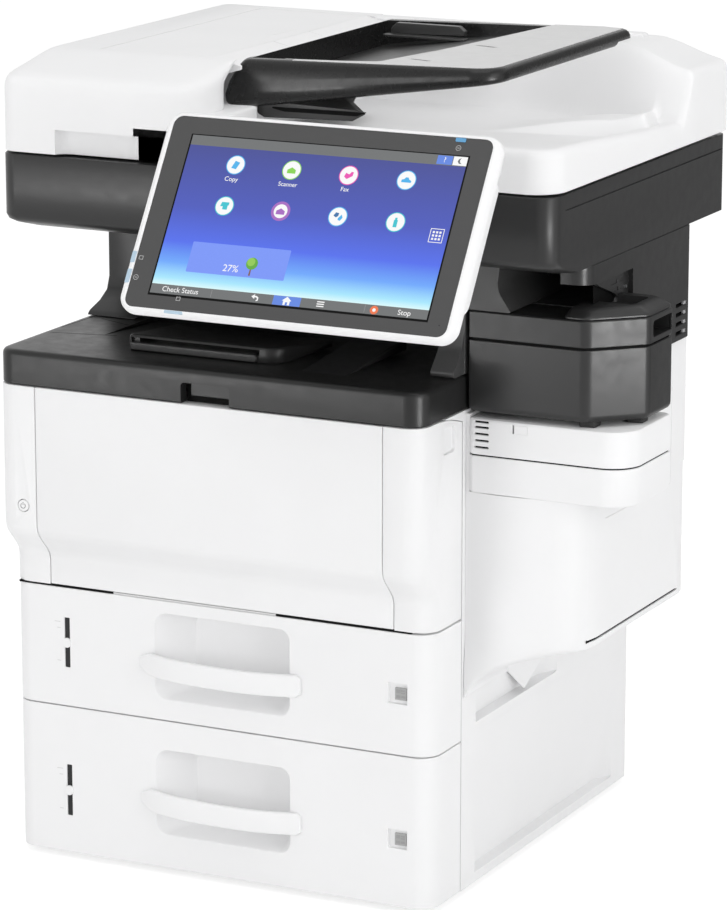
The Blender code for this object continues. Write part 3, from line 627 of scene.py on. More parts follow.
def right_housing():
    """Dark housing under the scanner's right end, open towards the stapler's deck."""
    low, high = edges("right_housing")
    shell = block((low.x, high.x), (146, high.y), (low.z, high.z), (0, 0, 4, 0))
    niche = block((400, 463), (140, NICHE_REAR), (STAPLER_HIGH.z + 0.4, 520), (0, 0, 8, 0))
    vents = [block((462, high.x + 1), (234, 254), (z - 1.5, z + 1.5)) for z in VENT_LEVELS]
    piece("right_housing_shell", shell, CHARCOAL, replaces=["right_housing"], edge=0.9, cuts=[niche, *vents],
          angle=36)
    skirt_plan = rounded([(447, 57, 2), (high.x, 57, 14), (high.x, 147, 0), (high.x - 5, 147, 0),
                          (high.x - 5, 62, 9), (447, 62, 2)], 8)
    under = prism([(40, 400), (170, 400), (170, 463.8), (146, 463.8), (122, 473), (75, SKIRT_Z), (40, 491.8)],
                  "x", 440, 480)
    window = prism([(75.5, SKIRT_Z), (145.4, SKIRT_Z), (145.4, 460), (60, 460)], "x", high.x - 4.2,
                   high.x + 2)
    piece("housing_skirt", prism(skirt_plan, "z", 455, high.z), CHARCOAL, cuts=[under, window], edge=0.6,
          angle=36)
    bars = [block((high.x - 8, high.x + 2), (y, y + 12), (z, z + 3.2))
            for z, ys in ((481.5, (111, 128)), (475.4, (113, 129)), (469.4, (124,))) for y in ys]
    plate = prism([(78, SKIRT_Z), (134, SKIRT_Z), (134, 464.6), (118, 474), (90, 484)], "x", high.x - 6,
                  high.x - 3.6)
    piece("housing_grille", plate, CHARCOAL, cuts=bars, edge=0.3)
    # Black sheet of painted shade behind the grille's openings, in place of the housing's shaded inside.
    piece("housing_grille_painted_shade", block((463.0, 463.8), (84, 146), (464.8, 500)), BLACK)
    # Rear wall and floor of the niche: sheets in the lighter charcoal of painted fill light.
    piece("niche_wall", block((400, 463), (NICHE_REAR - 1.5, NICHE_REAR - 0.1), (464.5, 519)), NICHE_FILL_LIGHT)
    piece("niche_floor", prism(rounded([(399, 100, 0), (449.6, 100, 0), (462, 146, 0), (462, 185, 8),
                                        (399, 185, 0)]), "z", 464.2, 464.9), NICHE_FILL_LIGHT)
    for i, z in enumerate(VENT_LEVELS):
        piece(f"housing_vent_pin{i}", block((high.x - 2.4, high.x - 0.3), (250, 254), (z - 1.4, z + 1.4)),
              GREY, edge=0.4)
    piece("housing_screw", rod("x", (139.5, 476), 1.2, high.x - 5, high.x - 3), STEEL)


def tower_ring(reach, z, front=0.0):
    """Plan of the side tower: a softly swelling front, a round front right corner and a flat side."""
    x0, y1 = edges("side_tower")[0].x, edges("side_tower")[1].y
    width = reach - x0
    profile = [(0.0, 3.0), (0.12, 1.0), (0.3, 0.0), (0.45, 0.4), (0.6, 1.8), (0.74, 3.4), (0.85, 6.6),
               (0.93, 12.0), (0.98, 20.0), (1.0, 32.0)]
    shrink = min(1.0, width / 97.6)
    ring = [(x0 + width * f, 56.2 + front + y * shrink, z) for f, y in profile]
    corner = rounded([(reach, 120, 0), (reach, y1, min(4.0, width * 0.4)), (x0, y1, 0)], 6)
    return ring + [(x, y, z) for x, y in corner]


def side_tower():
    """White side unit whose swollen front tapers into the body below."""
    low, high = edges("side_tower")
    levels = [(371.6, 158.0), (374, 164), (380, 171), (390, 179), (404, 186), (424, 192.5), (446, 198),
              (460, 201.6), (466.5, 203.6), (468, 206), (468, 322.0)]
    rings = [tower_ring(reach, z) for reach, z in levels]
    column = prism([(139, 313), (139, 384.4), (146, 384.4), (146, high.z), (261.5, high.z), (261.5, 313)],
                   "x", low.x, 468)
    slot = [(465.2, 73.6), (466.3, 88), (466.3, 250), (469, 250), (469, 88), (467.6, 70.6)]
    seam_low = prism(slot, "z", 208.8, 210.8)
    seam_top = prism([(102, 301.5), (232, 300.0), (232, 300.6), (102, 302.1)], "x", 467.4, 469)
    seam_rear = block((467.4, 469), (232.6, 233.2), (301, 384))
    piece("side_tower_shell", loft(rings), WHITE, replaces=["side_tower"], edge=0.5, joins=[column],
          cuts=[seam_low, seam_top, seam_rear], angle=40)
    # Black strip of painted shade at the bottom of the seam slot in the tower's side.
    dark = [(463.4, 76), (464.6, 88), (464.6, 250), (466.6, 250), (466.6, 88), (465.4, 74)]
    piece("side_tower_seam", prism(dark, "z", 208.6, 211.0), BLACK)
    keel = [(371.2, 124, 165), (404, 165, 190), (371.2, 236, 165), (371.2, 168, 134)]
    bm = bmesh.new()
    a, b, c, d = [bm.verts.new(v) for v in keel]
    for face in ((a, b, c), (a, d, b), (b, d, c), (a, c, d)):
        bm.faces.new(face)
    piece("side_tower_keel", bm, WHITE, edge=2.0)


def box_ring(low, high, inset, z):
    outline = box_outline(low.x + inset, high.x - inset, low.y + inset, high.y - min(inset, 0.5),
                          (5, 25 - inset, 3, 3), 14)
    return [(x, y, z) for x, y in outline]


def side_box():
    """White box in front of the tower: a lower tray and an upper cover with vents."""
    low, high = edges("side_box_lower")
    rings = [box_ring(low, high, inset, z) for inset, z in ((1.6, low.z - 0.9), (0.5, low.z - 0.3),
                                                            (0.0, low.z + 1.2), (0.0, high.z - 0.5),
                                                            (0.5, high.z))]
    piece("side_box_lower_shell", loft(rings), WHITE, replaces=["side_box_lower"], angle=40)
    split = high.z
    low, high = edges("side_box_cover")
    rings = [box_ring(low, high, inset, z) for inset, z in ((0.5, low.z), (0.0, low.z + 0.5),
                                                            (0.0, high.z - 2.2), (0.7, high.z - 0.7),
                                                            (2.4, high.z))]
    vents = [prism(box_outline(378.5, 390.5, z - 0.9, z + 0.9, (0.8,) * 4), "y", low.y - 1, low.y + 3)
             for z in (358.4, 363.6, 368.8, 374.0, 378.2)]
    slit = block((410.2, 411.6), (low.y - 1, low.y + 3), (371.5, 378.5))
    frame_lines = [block((411.8, 423), (low.y - 1, low.y + 0.4), (z, z + 0.5)) for z in (371.6, 378.0)]
    frame_lines.append(block((422.6, 423.1), (low.y - 1, low.y + 0.4), (371.6, 378.4)))
    piece("side_box_upper_shell", loft(rings), WHITE, replaces=["side_box_cover"],
          cuts=[*vents, slit, *frame_lines], angle=40)
    # Black sheet of painted shade behind the vents and the slit.
    piece("side_box_vent_shade", block((377.5, 412), (low.y + 2.2, low.y + 3.2), (356, 379.6)), BLACK)
    # Black strip of painted shade in the joint between the lower tray and the cover.
    piece("side_box_seam", block((low.x + 1, high.x - 1.2), (low.y + 1.2, high.y - 1),
                                 (split - 0.6, low.z + 0.6), (4, 24, 3, 3), 14), BLACK)


def stapler_plan(inset=0.0):
    """Outline of the stapler: a box with its front right corner cut off and a tongue towards the housing."""
    low, high = edges("stapler_deck")
    x0, x1, y0 = low.x + inset, high.x - inset, low.y + inset
    return rounded([(x0, y0, 1.5), (470 - inset * 0.4, y0, 14 - inset), (x1, 92 + inset * 0.4, 9 - inset),
                    (x1, 138 - inset, 3), (469 - inset, 138 - inset, 0), (469 - inset, 145 - inset, 1),
                    (x0, 145 - inset, 1)], 8)


def stapler():
    """Manual stapler: a body on small feet, a dark deck and a domed lid with a thumb pocket."""
    low, high = edges("stapler_body")
    split = edges("stapler_deck")[0].z
    rings = [flat_ring(stapler_plan(inset), z) for inset, z in
             ((4.0, 385.6), (1.4, 386.4), (0.2, 388.6), (0.0, 391.0), (0.0, high.z - 0.5), (0.5, high.z))]
    piece("stapler_body_shell", loft(rings), CHARCOAL, replaces=["stapler_body"], angle=40)
    for i, (x, y) in enumerate(((462, 62), (488, 92))):
        foot = rounded([(x, y, 2), (x + 13, y + 2, 2), (x + 13, y + 14, 2), (x, y + 14, 2)])
        piece(f"stapler_foot{i}", prism(foot, "z", 381.3, 387), RUBBER, edge=0.6)
    # Black strip of painted shade in the joint between the stapler's body and its deck.
    piece("stapler_seam", prism(stapler_plan(1.6), "z", high.z - 0.6, split + 0.6), BLACK)
    deck_z = edges("stapler_deck")[1].z
    rings = [flat_ring(stapler_plan(inset), z) for inset, z in
             ((0.5, split), (0.0, split + 0.5), (0.0, deck_z - 1.0), (0.9, deck_z))]
    mouth = prism(box_outline(98.5, 136.5, 446.6, 460.4, (3, 1, 1, 3)), "x", 480, 510)
    tongue = prism(box_outline(400, 449, 140, NICHE_REAR - 1, (0, 0, 10, 0)), "z", split + 4, deck_z - 0.4)
    piece("stapler_deck_shell", loft(rings), CHARCOAL, replaces=["stapler_deck"], cuts=[mouth],
          joins=[tongue], angle=40)
    # Black block of painted shade inside the stapler's mouth.
    piece("stapler_mouth_shade", block((479, 481), (97, 137), (445, 462)), BLACK)
    lip = box_outline(97.2, 137.2, 445.4, 461.6, (4, 1.5, 1.5, 4))
    hole = prism(box_outline(99.2, 136, 447.2, 459.8, (3, 1, 1, 3)), "x", 500, 510)
    piece("stapler_mouth_frame", prism(lip, "x", 504.4, 506.45), CHARCOAL, cuts=[hole], edge=0.5)

    lid_rings = []
    for inset, rise in ((0.6, 0.5), (0.0, 0.9), (0.0, 1.9), (0.8, 2.8), (3.4, 4.2), (6.6, 6.0), (9.4, 7.2),
                        (12.4, 7.9), (15.5, 8.1)):
        left, right, front, rear = 450.5 + inset * 0.25, 506.2 - inset, 56.4 + inset, 137 - inset * 0.15
        outline = rounded([(left, front, max(1.5, 6 - inset * 0.3)), (470 - inset * 0.5, front,
                12 - inset * 0.45), (right, 92 + inset * 0.35, 9 - inset * 0.2), (right, rear, 4),
                           (left, rear, 1)], 8)
        lid_rings.append(flat_ring(outline, deck_z + rise))
    pocket_rings = []
    for inset, z in ((2.0, deck_z + 2.6), (0.0, deck_z + 8.4), (0.0, deck_z + 14)):
        outline = box_outline(462 + inset, 492 - inset, 94 + inset, 126 - inset, (3, 3, 3, 3), 4)
        pocket_rings.append(flat_ring(outline, z))
    side_step = prism([(452, 84), (459, 90), (459, 130), (452, 130)], "z", deck_z + 6.2, deck_z + 14)
    left_half = block((440, 470.6), (50, 140), (460, 480))
    right_half = block((470.9, 510), (50, 140), (460, 480))
    piece("stapler_lid_shell", loft(lid_rings), CHARCOAL, "stapler_lid", replaces=["stapler_lid"],
          cuts=[loft(pocket_rings), left_half], angle=36)
    piece("stapler_cap", loft(lid_rings), CHARCOAL, cuts=[loft(pocket_rings), side_step, right_half],
          angle=36)


# ---------------------------------------------------------------- platen cover and feeder

BLOCK_X = 179.0
LIP_FRONT, LIP_REAR = 601.0, 587.0
COVER_Y0, COVER_Y1 = edges("platen_cover")[0].y, edges("platen_cover")[1].y
COVER_X1 = edges("platen_cover")[1].x


def edge_distance(x, y, x0, x1, y0, y1, radius):
    """How far a point lies inside a rounded rectangle."""
    dx = max(x0 + radius - x, x - (x1 - radius), 0.0)
    dy = max(y0 + radius - y, y - (y1 - radius), 0.0)
    if dx > 0 and dy > 0:
        return radius - math.hypot(dx, dy)
    return min(x - x0, x1 - x, y - y0, y1 - y)


def round_corner(x, y, x0, x1, y0, y1, radius):
    """Squeeze a point of a square corner into a rounded one."""
    cx = x1 - radius if x > x1 - radius else x0 + radius if x < x0 + radius else None
    cy = y1 - radius if y > y1 - radius else y0 + radius if y < y0 + radius else None
    if cx is None or cy is None:
        return x, y
    u, v = (x - cx) / radius, (y - cy) / radius
    return cx + radius * u * math.sqrt(1 - v * v / 2), cy + radius * v * math.sqrt(1 - u * u / 2)


def output_height(x, y):
    """Height of the white output floor: a dished tray, a raised stop, and walls that sweep up behind it."""
    lip = lerp(LIP_FRONT, LIP_REAR, ease(-8, 262, y))
    dish = 8.0 * ease(8, 60, y - COVER_Y0) * ease(6, 46, COVER_X1 - x)
    floor = lip - dish
    stop = ease(322, 425, x) * ease(156, 168, y + (x - 349) * -0.35) * (1 - ease(454, 459,
            x + (y - 200) * 0.25))
    floor += 12.0 * stop * (1 - ease(240, 258, y))
    wall_y = 318 - 56 * ease(300, 455, x)
    wall_top = lerp(FEEDER_TOP - 2.5, 625, ease(408, COVER_X1 + 4, x))
    return lerp(floor, wall_top, ease(wall_y - 26, wall_y + 3, y) ** 1.6)


def spaced(low, high, step, dense=()):
    """Grid positions with closer lines in the dense spans."""
    values = []
    value = low
    while value < high - 1e-6:
        values.append(value)
        near = [s for a, b, s in dense if a <= value < b]
        value += min(near) if near else step
    return values + [high]


def grip_hollow():
    """Hollow under the cover's front edge, to lift it by."""
    return block((50, 330), (COVER_Y0 - 20, COVER_Y0 + 8), (COVER_Z - 3, 588), (0, 0, 7, 12))


def output_floor():
    """Right part of the platen cover, as one moulding with soft edges and a dished top."""
    x0, x1, y0, y1, radius, fillet = 120.0, COVER_X1, COVER_Y0, COVER_Y1, 24.0, 7.0
    xs = spaced(x0, x1, 5, [(395, 456, 2.5), (456, 471, 1.0)])
    ys = spaced(y0, y1, 4, [(y0, y0 + 14, 0.8), (120, 330, 2.0), (y1 - 8, y1, 1.0)])
    bm = bmesh.new()
    grid = []
    for y in ys:
        row = []
        for x in xs:
            px, py = round_corner(x, y, -200, x1, y0, y1 + 60, radius)
            depth = min(fillet, max(0.0, edge_distance(px, py, -200, x1, y0, y1 + 60, radius)))
            drop = fillet - math.sqrt(max(0.0, fillet ** 2 - (fillet - depth) ** 2))
            row.append(bm.verts.new((px, py, output_height(px, py) - drop)))
        grid.append(row)
    for lower, upper in zip(grid, grid[1:]):
        for i in range(len(xs) - 1):
            bm.faces.new((lower[i], lower[i + 1], upper[i + 1], upper[i]))
    rim = grid[0] + [row[-1] for row in grid[1:]] + grid[-1][-2::-1] + [row[0] for row in grid[-2:0:-1]]
    foot = [bm.verts.new((v.co.x, v.co.y, COVER_Z)) for v in rim]
    for i in range(len(rim)):
        j = (i + 1) % len(rim)
        bm.faces.new((rim[i], foot[i], foot[j], rim[j]))
    bm.faces.new(foot)
    piece("platen_cover_floor", bm, WHITE, "platen_cover", replaces=["platen_cover"],
          cuts=[grip_hollow()], angle=40)


def block_ring(left, front, z):
    """Plan of the feeder housing at one height: its front right corner curls round to meet the tray's end."""
    radius = lerp(29.0, 5.0, min(1.0, front / 50))
    y0 = COVER_Y0 + front
    middle = (BLOCK_X - radius, y0 + radius)
    curl = [(middle[0] + radius * math.sin(math.radians(a)), middle[1] - radius * math.cos(math.radians(a)))
            for a in range(0, 151, 10)]
    heel = (165.0, max(47.0, curl[-1][1] + 1))
    corner = rounded([(left, y0, max(5.0, 15 - left * 0.4)), (100, y0, 0), (100, 333, 0), (left, 333, 8)], 8)
    left_side = [p for p in corner if p[0] < 99]
    front_side = [p for p in left_side if p[1] < 200]
    rear_side = [p for p in left_side if p[1] >= 200]
    plan = rear_side + front_side + curl + [heel, (165.0, 333)]
    return [(x, y, z) for x, y in plan]


def feeder_block():
    """Feeder housing at the left: upright walls and wide sloping shoulders."""
    walls = [(0.0, 0.0, 568.6), (0.0, 0.0, 617.0), (0.3, 0.4, 621.5), (1.2, 1.6, 625.0), (2.8, 4.2, 627.8),
             (5.4, 11.0, 630.6), (9.6, 26.0, 635.4), (13.4, 41.0, 640.2), (15.8, 49.0, 642.4),
             (18.6, 55.0, FEEDER_TOP)]
    rings = [block_ring(*wall) for wall in walls]
    pocket = block((58.2, 400), (50.2, 317.8), (600, 660))
    piece("feeder_block", loft(rings), WHITE, "platen_cover", cuts=[grip_hollow(), pocket], angle=38)
    rear = block((120, 404), (317.8, 333), (586, FEEDER_TOP - 0.2), (0, 0, 6, 0))
    piece("feeder_rear_wall", rear, WHITE, "platen_cover", edge=2.5)
    lip = block((140, 193), (COVER_Y0 + 0.4, 58), (588, 607.4), (0, 12, 0, 0), 8)
    piece("feeder_lip", lip, WHITE, "platen_cover", edge=2.6)


def feed_cover():
    """Lid over the feed path, with a sloping strip beside the hopper that is split by two seams."""
    profile = rounded([(58.8, 629, 0), (160, 629, 0), (181.6, 635.0, 0.8), (181.6, 638.0, 1.2),
                       (158, FEEDER_TOP, 8), (58.8, FEEDER_TOP, 0)])
    seams = [block((158, 184), (y, y + 0.6), (636, 650)) for y in (150, 212)]
    groove = prism([(140.5, 170), (141.1, 170), (144.6, 217), (144.0, 217)], "z", FEEDER_TOP - 0.8,
                   FEEDER_TOP + 1)
    piece("feed_cover_shell", prism(profile, "y", 50.8, 317.2), WHITE, "feed_cover", replaces=["feed_cover"],
          edge=0.3, cuts=[*seams, groove])


# ---------------------------------------------------------------- document tray

TRAY_LOW = [(167, 603.5), (180, 604.8), (233, 610.1), (258, 616.4), (300, 622.6), (350, 630.4), (397, 637.0)]
TRAY_HIGH = [(180, 643), (258, 645), (317, 646.5), (397, 648.5)]


def tray_ring(height, inset, left):
    """Outline of the document tray at one height between its underside and its top."""
    x1, y1 = edges("input_tray")[1].x - inset, edges("input_tray")[1].y - inset
    y0 = 52.0 + inset
    plan = rounded([(left, y0, 6), (x1, y0, 24 - inset), (x1, y1, 12), (184, y1, 2), (184, y0 + 13, 1),
                    (left, y0 + 13, 4)], 10)
    return [(x, y, lerp(along(TRAY_LOW, x), along(TRAY_HIGH, x), height)) for x, y in plan]


def input_tray():
    """Document tray: a deep glossy rim that thins towards its free end, with a light grey top."""
    section = [(0.0, 8.0, 175.0), (0.02, 4.6, 171.0), (0.07, 2.0, 167.6), (0.16, 0.6, 165.4),
               (0.3, 0.0, 165.4), (0.55, 0.2, 169.0), (0.78, 1.2, 174.0), (0.9, 2.4, 177.8),
               (0.965, 3.8, 179.8), (1.0, 6.0, 181.6)]
    well_plan = [(184.5, 65), (286, 66), (288, 70), (308, 163), (327, 303), (184.5, 303)]
    well = loft([[(x, y, along([(184, 622), (330, 641)], x)) for x, y in well_plan],
                 [(x, y, 660) for x, y in well_plan]])
    piece("input_tray_rim", loft([tray_ring(*level) for level in section]), RIM, "input_tray",
          replaces=["input_tray"], cuts=[well], angle=36)

    top_plan = rounded([(222, 58.6, 1), (391, 58.6, 18), (391, 305, 3), (372, 313, 3), (329, 313, 1),
                        (309.5, 163, 40), (290, 71, 6), (262, 66.5, 20), (222, 64.5, 1)], 6)
    top = loft([[(x, y, along(TRAY_HIGH, x) + rise) for x, y in top_plan] for rise in (-1.2, 0.3)])
    slots = [prism([(x, y), (x + 22, y - 9), (x + 27, y - 6), (x + 5, y + 2)], "z", 640, 660)
             for x, y in ((302, 92), (318, 178))]
    seams = [prism([(x, y), (390, y - 5), (390, y - 4.5), (x, y + 0.5)], "z", 640, 660)
             for x, y in ((304, 136), (318, 229))]
    piece("input_tray_top", top, TRAY_TOP, "input_tray", "tray_rim", edge=0.2, cuts=[*slots, *seams])
    under = loft([[(x, y, along(TRAY_HIGH, x) + rise) for x, y in top_plan] for rise in (-3.2, -2.6)])
    piece("input_tray_slot_floor", under, HOPPER, "input_tray", "tray_rim")

    floor_plan = [(185.5, 66), (285, 67), (307, 163), (326, 302), (185.5, 302)]
    rings = [[(x, y, along([(185, 622.6), (330, 641.6)], x) + rise) for x, y in floor_plan]
             for rise in (0, 1.4)]
    piece("input_tray_floor", loft(rings), HOPPER, "input_tray", "tray_rim", edge=0.3)
    ledge_rings = []
    for rise, inset in ((-6.0, 0.0), (-0.8, 0.0), (-0.2, 0.6)):
        strip = [(205, 305 + inset), (300, 303.5 + inset), (331, 303.5 + inset), (333, 311.5 - inset),
                 (205, 311.5 - inset)]
        ledge_rings.append([(x, y, along(TRAY_HIGH, x) + rise) for x, y in strip])
    piece("input_tray_ledge", loft(ledge_rings), HOPPER, "input_tray", "tray_rim", edge=0.3)
    jaw_rings = []
    for y, reach in ((62, 284), (110, 250), (200, 214)):
        jaw = rounded([(190, 611, 1), (reach - 8, 609, 1), (reach, 606.7, 0.6), (reach - 12, 600.2, 2),
                       (196, 598.0, 4), (190, 601, 3)])
        jaw_rings.append([(x, y, z) for x, z in jaw])
    piece("exit_jaw", loft(jaw_rings), HOPPER, "platen_cover", edge=0.6)
    lip = rounded([(198, 606.8, 0.6), (284, 607.6, 0.3), (276, 604.4, 0.6), (214, 603.8, 0.6)])
    # Black lip of painted shade inside the paper exit's mouth.
    piece("exit_mouth", prism(lip, "y", 61.2, 64), BLACK, "platen_cover")


def input_guides():
    """Side guides of the hopper: low fences with curled tops."""
    for side, y, lean in (("front", 84, 1), ("rear", 284, -1)):
        low, high = edges(f"input_guide_{side}")
        top = along(TRAY_HIGH, low.x) + (1.0 if side == "rear" else -3.0)
        outline = rounded([(low.x, low.z, 0.5), (high.x, low.z + 2, 0.5), (high.x, top - 4, 1.5),
                           (high.x - 5, top, 1.5), (low.x + 5, top, 1.5), (low.x, top - 5, 1.5)])
        wall = prism(outline, "y", low.y, high.y)
        base = block((low.x - 2, high.x + 6), sorted((y + 3 * lean, y + 13 * lean)),
                     (low.z - 0.6, low.z + 1.2), (3, 3, 3, 3))
        piece(f"input_guide_{side}_fence", wall, HOPPER, f"input_guide_{side}",
              replaces=[f"input_guide_{side}"], edge=0.8)
        piece(f"input_guide_{side}_base", base, HOPPER, f"input_guide_{side}", edge=0.4)


# ---------------------------------------------------------------- operation panel

# Outer edge of the white surround and of the dark face, along and up the panel
FRAME_S, FRAME_T = (-24.5, 246.0), (-15.5, 143.5)
FACE_S, FACE_T = (-18.6, 239.6), (-12.4, 139.8)


def panel_ring(share, level):
    """Outline between the dark face (share 0) and the panel's outer edge (share 1)."""
    s0, s1 = (lerp(FACE_S[i], FRAME_S[i], share) for i in (0, 1))
    t0, t1 = (lerp(FACE_T[i], FRAME_T[i], share) for i in (0, 1))
    outline = box_outline(s0, s1, t0, t1, (lerp(7.5, 13.0, share),) * 4, 12)
    return [on_panel(s, t, level) for s, t in outline]


def panel_shell():
    """White surround with a soft edge, and the thicker pod on its back."""
    section = [(-0.5, -3.0), (-0.02, -3.0), (-0.02, 0.9), (0.06, 1.15), (0.3, 1.15), (0.55, 0.6),
               (0.78, -0.7), (0.93, -2.6), (1.0, -5.0), (0.97, -7.2), (0.85, -8.8), (0.6, -9.6), (-1.0, -9.6)]
    body = loft([panel_ring(*level) for level in section])
    pod_rings = []
    for inset, level in ((0.0, -7.0), (0.0, -12.5), (1.0, -14.4), (3.4, -15.0)):
        outline = box_outline(20 + inset, 245.6 - inset, 5 + inset, 118 - inset, (14 - inset,) * 4, 8)
        pod_rings.append([on_panel(s, t, level) for s, t in outline])
    axis_y, axis_z = -113.0, 532.0
    neck = [on_panel(0, t, n).yz for t, n in ((66, -13), (38, -13), (44, -30), (60, -30))]
    lugs = []
    for x0, x1 in ((278, 291), (349, 362)):
        lugs += [prism([tuple(p) for p in neck], "x", x0 + 1, x1 - 1), rod("x", (axis_y, axis_z), 9, x0, x1)]
    piece("panel_surround", body, WHITE, "panel", replaces=["panel_shell"], joins=[loft(pod_rings), *lugs],
          angle=44)


def patch(name, s, t, material, lift=0.1, radius=0.0):
    """Flat rectangle just proud of the glass."""
    piece(name, slab(s, t, (GLASS_FACE - 0.3, GLASS_FACE + lift), radius), material, "panel", "display_glass")


def disc(name, s, t, radius, material, lift, sides=40):
    """Flat disc just proud of the glass."""
    outline = circle(s, t, radius, sides)
    rings = [[on_panel(a, b, n) for a, b in outline] for n in (GLASS_FACE - 0.2, GLASS_FACE + lift)]
    piece(name, loft(rings), material, "panel", "display_glass")


def shape(name, points, s, t, material, scale=1.0, lift=0.2):
    """Flat sign with its own outline round a point of the glass."""
    levels = (GLASS_FACE, GLASS_FACE + lift)
    rings = [[on_panel(s + a * scale, t + b * scale, n) for a, b in points] for n in levels]
    piece(name, loft(rings), material, "panel", "display_glass")


def words(name, text, s, t, size):
    """White lettering centred on a point of the glass."""
    curve = bpy.data.curves.new(name, "FONT")
    curve.body = text
    curve.size = size * MM
    curve.align_x = "CENTER"
    curve.align_y = "CENTER"
    curve.extrude = 0.04 * MM
    curve.materials.append(SIGN["white"])
    obj = bpy.data.objects.new(name, curve)
    bpy.context.scene.collection.objects.link(obj)
    turn = Matrix((Vector((1, 0, 0)), PANEL_UP, PANEL_OUT)).transposed().to_4x4()
    obj.matrix_world = Matrix.Translation(world(on_panel(s, t, GLASS_FACE + 0.12))) @ turn
    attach(obj, "panel")


def screen():
    """Dark glass over the display, with the lit screen, its bars, fields and words."""
    glass = slab(FACE_S, FACE_T, (-2.9, GLASS_FACE), 7.2)
    piece("panel_bezel", glass, BEZEL, "panel", "display_glass", ["panel_glass"], edge=0.25)
    bar = glow("screen_bar", (0.135, 0.142, 0.142))
    patch("screen_border", (-1.3, SCREEN_W + 1.3), (-1.8, SCREEN_H + 0.8), BLACK, 0.03)
    patch("screen_wallpaper", (0, SCREEN_W), (7.3, 117.6), screen_gradient(), 0.06)
    patch("screen_top_bar", (0, SCREEN_W), (117.6, SCREEN_H), bar, 0.06)
    patch("screen_bottom_bar", (0, SCREEN_W), (0, 7.3), bar, 0.06)
    patch("screen_card", (24.2, 103.8), (18.6, 42.3), glow("screen_card", (0.17, 0.28, 0.90)), radius=0.8)
    patch("screen_help", (198.6, 210.6), (118.2, 125.0), SIGN["blue"], radius=0.4)
    patch("screen_rest", (211.2, 222), (118.2, 125.0), SIGN["white"], radius=0.2)
    patch("screen_home", (99.6, 121.6), (0.1, 7.2), SIGN["blue"])
    patch("screen_divider_left", (49.4, 49.8), (0.8, 6.6), SIGN["grey"])
    patch("screen_divider_right", (172.4, 172.8), (0.8, 6.6), SIGN["grey"])
    for name, text, s, t, size in (
            ("check_status", "Check Status", 24.2, 3.6, 5.6), ("stop", "Stop", 203.8, 3.4, 5.6),
            ("help", "?", 204.6, 121.6, 5.6), ("copy", "Copy", 40.6, 93.0, 5.0),
            ("scanner", "Scanner", 86.8, 92.6, 4.8), ("fax", "Fax", 132.8, 92.6, 4.8),
            ("percent", "27%", 59.5, 24.0, 7.6)):
        words(f"word_{name}", text, s, t, size)
    moon = [(0.6, 2.4), (-1.2, 1.4), (-1.8, -0.4), (-0.6, -2), (1.6, -2.2), (0.2, -1), (-0.2, 0.6)]
    shape("sign_moon", moon, 216.6, 121.6, bar)


def icons():
    """Two rows of round signs on the wallpaper."""
    sheets = [(-3, -2.6), (1, -3.4), (3.2, 2), (-0.8, 3.2)]
    fold = [(-3.4, 0.2), (0, 2.2), (3.4, 0.2), (3.4, -2.6), (-3.4, -2.6)]
    cloud = [(-3.8, -1.8), (3.8, -1.8), (4.0, -0.4), (2.2, 0.6), (1.2, 2.2), (-0.8, 2.2), (-1.8, 0.8),
             (-3.8, 0.2)]
    phone = [(-3.4, -1.2), (-1, -3), (3.2, -0.4), (3.6, 2.6), (1.8, 2.9), (0.4, 0.8), (-2.4, 1.8)]
    pages = [(-3.4, -0.4), (-1.2, -0.4), (-1.2, -2.8), (2.6, -2.8), (2.6, 0.6), (3.4, 0.6), (3.4, 3),
             (-2.6, 3)]
    stick = [(-1.5, -4), (1.5, -4), (1.5, 1.6), (0.9, 1.6), (0.9, 3.4), (-0.9, 3.4), (-0.9, 1.6), (-1.5, 1.6)]
    lands = [(-3.6, 0.6), (-2, 3.2), (0.6, 2.6), (0.2, 0.4), (-1.4, -0.8)]
    lands_right = [(0.6, -1.0), (2.8, 1.8), (4.0, -0.6), (2.4, -3.2), (0.4, -2.6)]
    for label, s, t, ring, radius, symbols in (
            ("copy", 41.1, 104.4, "sky", 6.9, [(sheets, "sky")]),
            ("scanner", 87.0, 104.0, "green", 6.9, [(fold, "green")]),
            ("fax", 133.0, 103.7, "pink", 6.9, [(phone, "pink")]),
            ("cloud", 179.0, 103.7, "sky", 6.9, [(cloud, "sky")]),
            ("print", 41.0, 71.8, "teal", 6.9, [(pages, "teal")]),
            ("folder", 86.9, 71.6, "violet", 5.4, [(fold, "violet")]),
            ("globe", 133.0, 71.4, "sky", 6.9, [(lands, "navy"), (lands_right, "sky")]),
            ("stick", 179.0, 71.1, "teal", 6.9, [(stick, "teal")])):
        disc(f"icon_{label}_ring", s, t, 7.6, SIGN[ring], 0.09)
        disc(f"icon_{label}_disc", s, t, radius, SIGN["white"], 0.13)
        for i, (points, colour) in enumerate(symbols):
            shape(f"icon_{label}_sign{i}", points, s, t, SIGN[colour])


